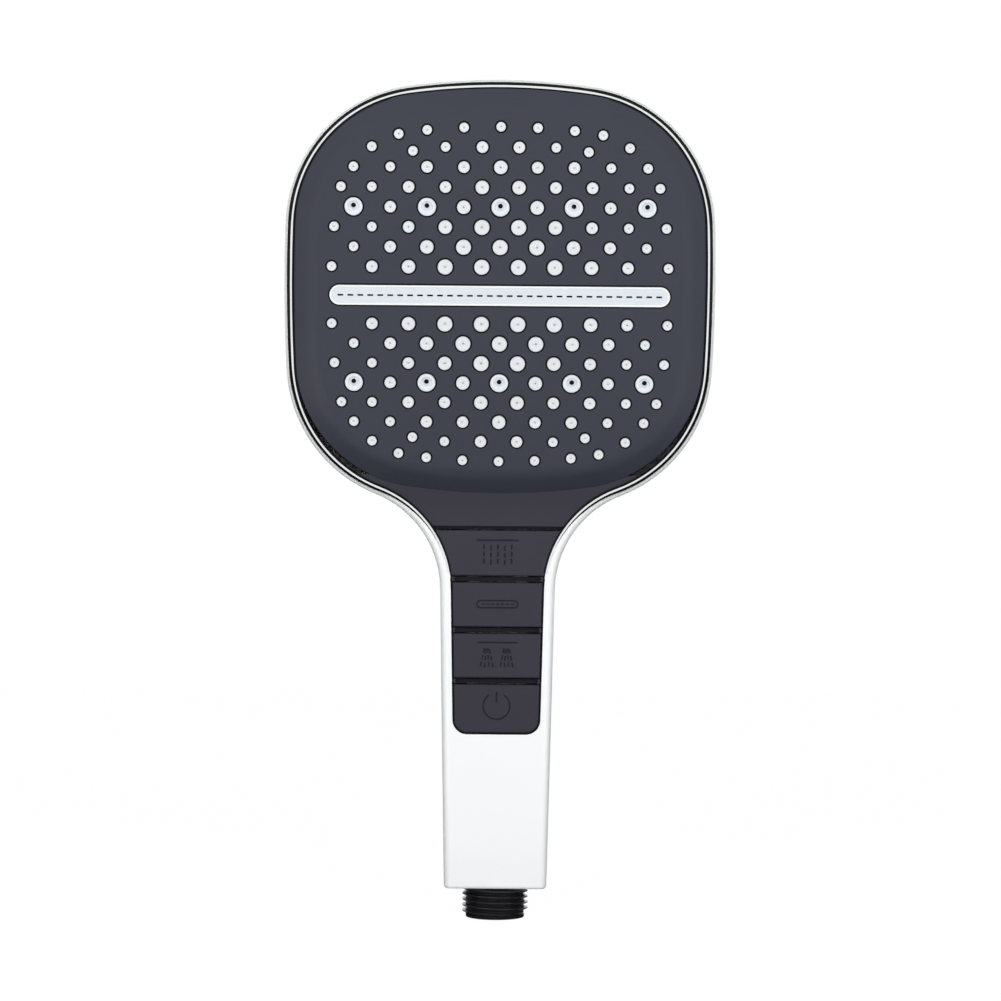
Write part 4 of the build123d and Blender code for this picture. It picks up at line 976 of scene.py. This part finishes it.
def makeRoom():
    world = bpy.data.worlds.new("studioRoom")
    bpy.context.scene.world = world
    world.use_nodes = True
    tree = world.node_tree
    tree.nodes.clear()
    output = addNode(tree, "ShaderNodeOutputWorld")
    path = addNode(tree, "ShaderNodeLightPath")
    place = addNode(tree, "ShaderNodeTexCoord")
    facing = setInputs(addNode(tree, "ShaderNodeVectorMath", operation="DOT_PRODUCT"), {1: (0, -1, 0)})
    span = setInputs(addNode(tree, "ShaderNodeMapRange"), {"From Min": -1, "From Max": 1})
    ramp = addNode(tree, "ShaderNodeValToRGB")
    stops = reflections["stops"]
    while len(ramp.color_ramp.elements) < len(stops):
        ramp.color_ramp.elements.new(0.5)
    for element, (position, level) in zip(ramp.color_ramp.elements, stops):
        element.position = position
        element.color = (level, level, level, 1)
    room = setInputs(addNode(tree, "ShaderNodeBackground"), {"Strength": studio["room"]})
    seen = setInputs(addNode(tree, "ShaderNodeBackground"), {"Strength": 1})
    sweep = setInputs(addNode(tree, "ShaderNodeBackground"), {"Color": (1, 1, 1, 1), "Strength": 1})
    mirror, shown = addNode(tree, "ShaderNodeMixShader"), addNode(tree, "ShaderNodeMixShader")
    either = addMath(tree, "MAXIMUM")
    wire(tree,
         (place, "Generated", facing, 0), (facing, "Value", span, "Value"), (span, "Result", ramp, "Fac"),
         (ramp, "Color", seen, "Color"), (ramp, "Color", room, "Color"),
         (path, "Is Glossy Ray", either, 0), (path, "Is Transmission Ray", either, 1),
         (either, 0, mirror, "Fac"), (room, 0, mirror, 1), (seen, 0, mirror, 2),
         (path, "Is Camera Ray", shown, "Fac"),
         (mirror, 0, shown, 1), (sweep, 0, shown, 2), (shown, 0, output, "Surface"))


def stageCard(name, x0, x1, y0, y1, z, material):
    mesh = bpy.data.meshes.new(name)
    mesh.from_pydata([(x0, y0, z), (x1, y0, z), (x1, y1, z), (x0, y1, z)], [], [(0, 1, 2, 3)])
    mesh.materials.append(material)
    card = newPiece(name, mesh)
    return card


# Pale floor under the inlet: white to the camera and in gloss, with the handset's shadow still in it
floor = dict(half=1.2, gap=0.0002, tone=(0.86, 0.86, 0.86), rough=0.9, gloss=0.1, whiteShare=0.94, glow=1.04)


def layFloor():
    material, tree = newMaterial("palePaper")
    paper = setInputs(tree.nodes["Principled BSDF"],
                      {"Base Color": (*floor["tone"], 1), "Roughness": floor["rough"],
                       "Specular IOR Level": floor["gloss"]})
    path = addNode(tree, "ShaderNodeLightPath")
    white = setInputs(addNode(tree, "ShaderNodeEmission"), {"Color": (1, 1, 1, 1), "Strength": floor["glow"]})
    direct, seen = addMath(tree, "MAXIMUM"), addMath(tree, "MAXIMUM")
    share = addMath(tree, "MULTIPLY", floor["whiteShare"])
    mix = addNode(tree, "ShaderNodeMixShader")
    wire(tree,
         (path, "Is Camera Ray", direct, 0), (path, "Is Glossy Ray", direct, 1), (direct, 0, seen, 0),
         (path, "Is Transmission Ray", seen, 1), (seen, 0, share, 0), (share, 0, mix, "Fac"),
         (paper, 0, mix, 1), (white, 0, mix, 2), (mix, 0, tree.nodes["Material Output"], "Surface"))
    half = floor["half"]
    stageCard("paleFloor", -half, half, -half, half, cadBox[0][2] - floor["gap"], material)


# Cards just over the floor that only polished surfaces see: black from under the head backwards, so the
# bevels read dark, and a bright one on either side in front, which the shoulders of the pad pick up.
# Rows are the span in x, the span in y and the brightness
cards = dict(lift=0.0001, rows={"blackFlag": (-1.25, 1.25, -0.2, 1.25, 0.01),
                                "glowLeft": (-0.24, -0.14, -1.0, -0.22, 2.8),
                                "glowRight": (0.14, 0.24, -1.0, -0.22, 2.8)})


def layCards():
    z = cadBox[0][2] - floor["gap"] + cards["lift"]
    for name, (x0, x1, y0, y1, level) in cards["rows"].items():
        material, tree = newMaterial(name + "Cloth")
        light = setInputs(addNode(tree, "ShaderNodeEmission"), {"Color": (1, 1, 1, 1), "Strength": level})
        wire(tree, (light, 0, tree.nodes["Material Output"], "Surface"))
        card = stageCard(name, x0, x1, y0, y1, z, material)
        card.visible_camera = card.visible_diffuse = card.visible_shadow = card.visible_transmission = False


placeCamera()
lightStudio()
makeRoom()
layFloor()
layCards()
bpy.context.scene.view_settings.view_transform = "Standard"
print("studio set")
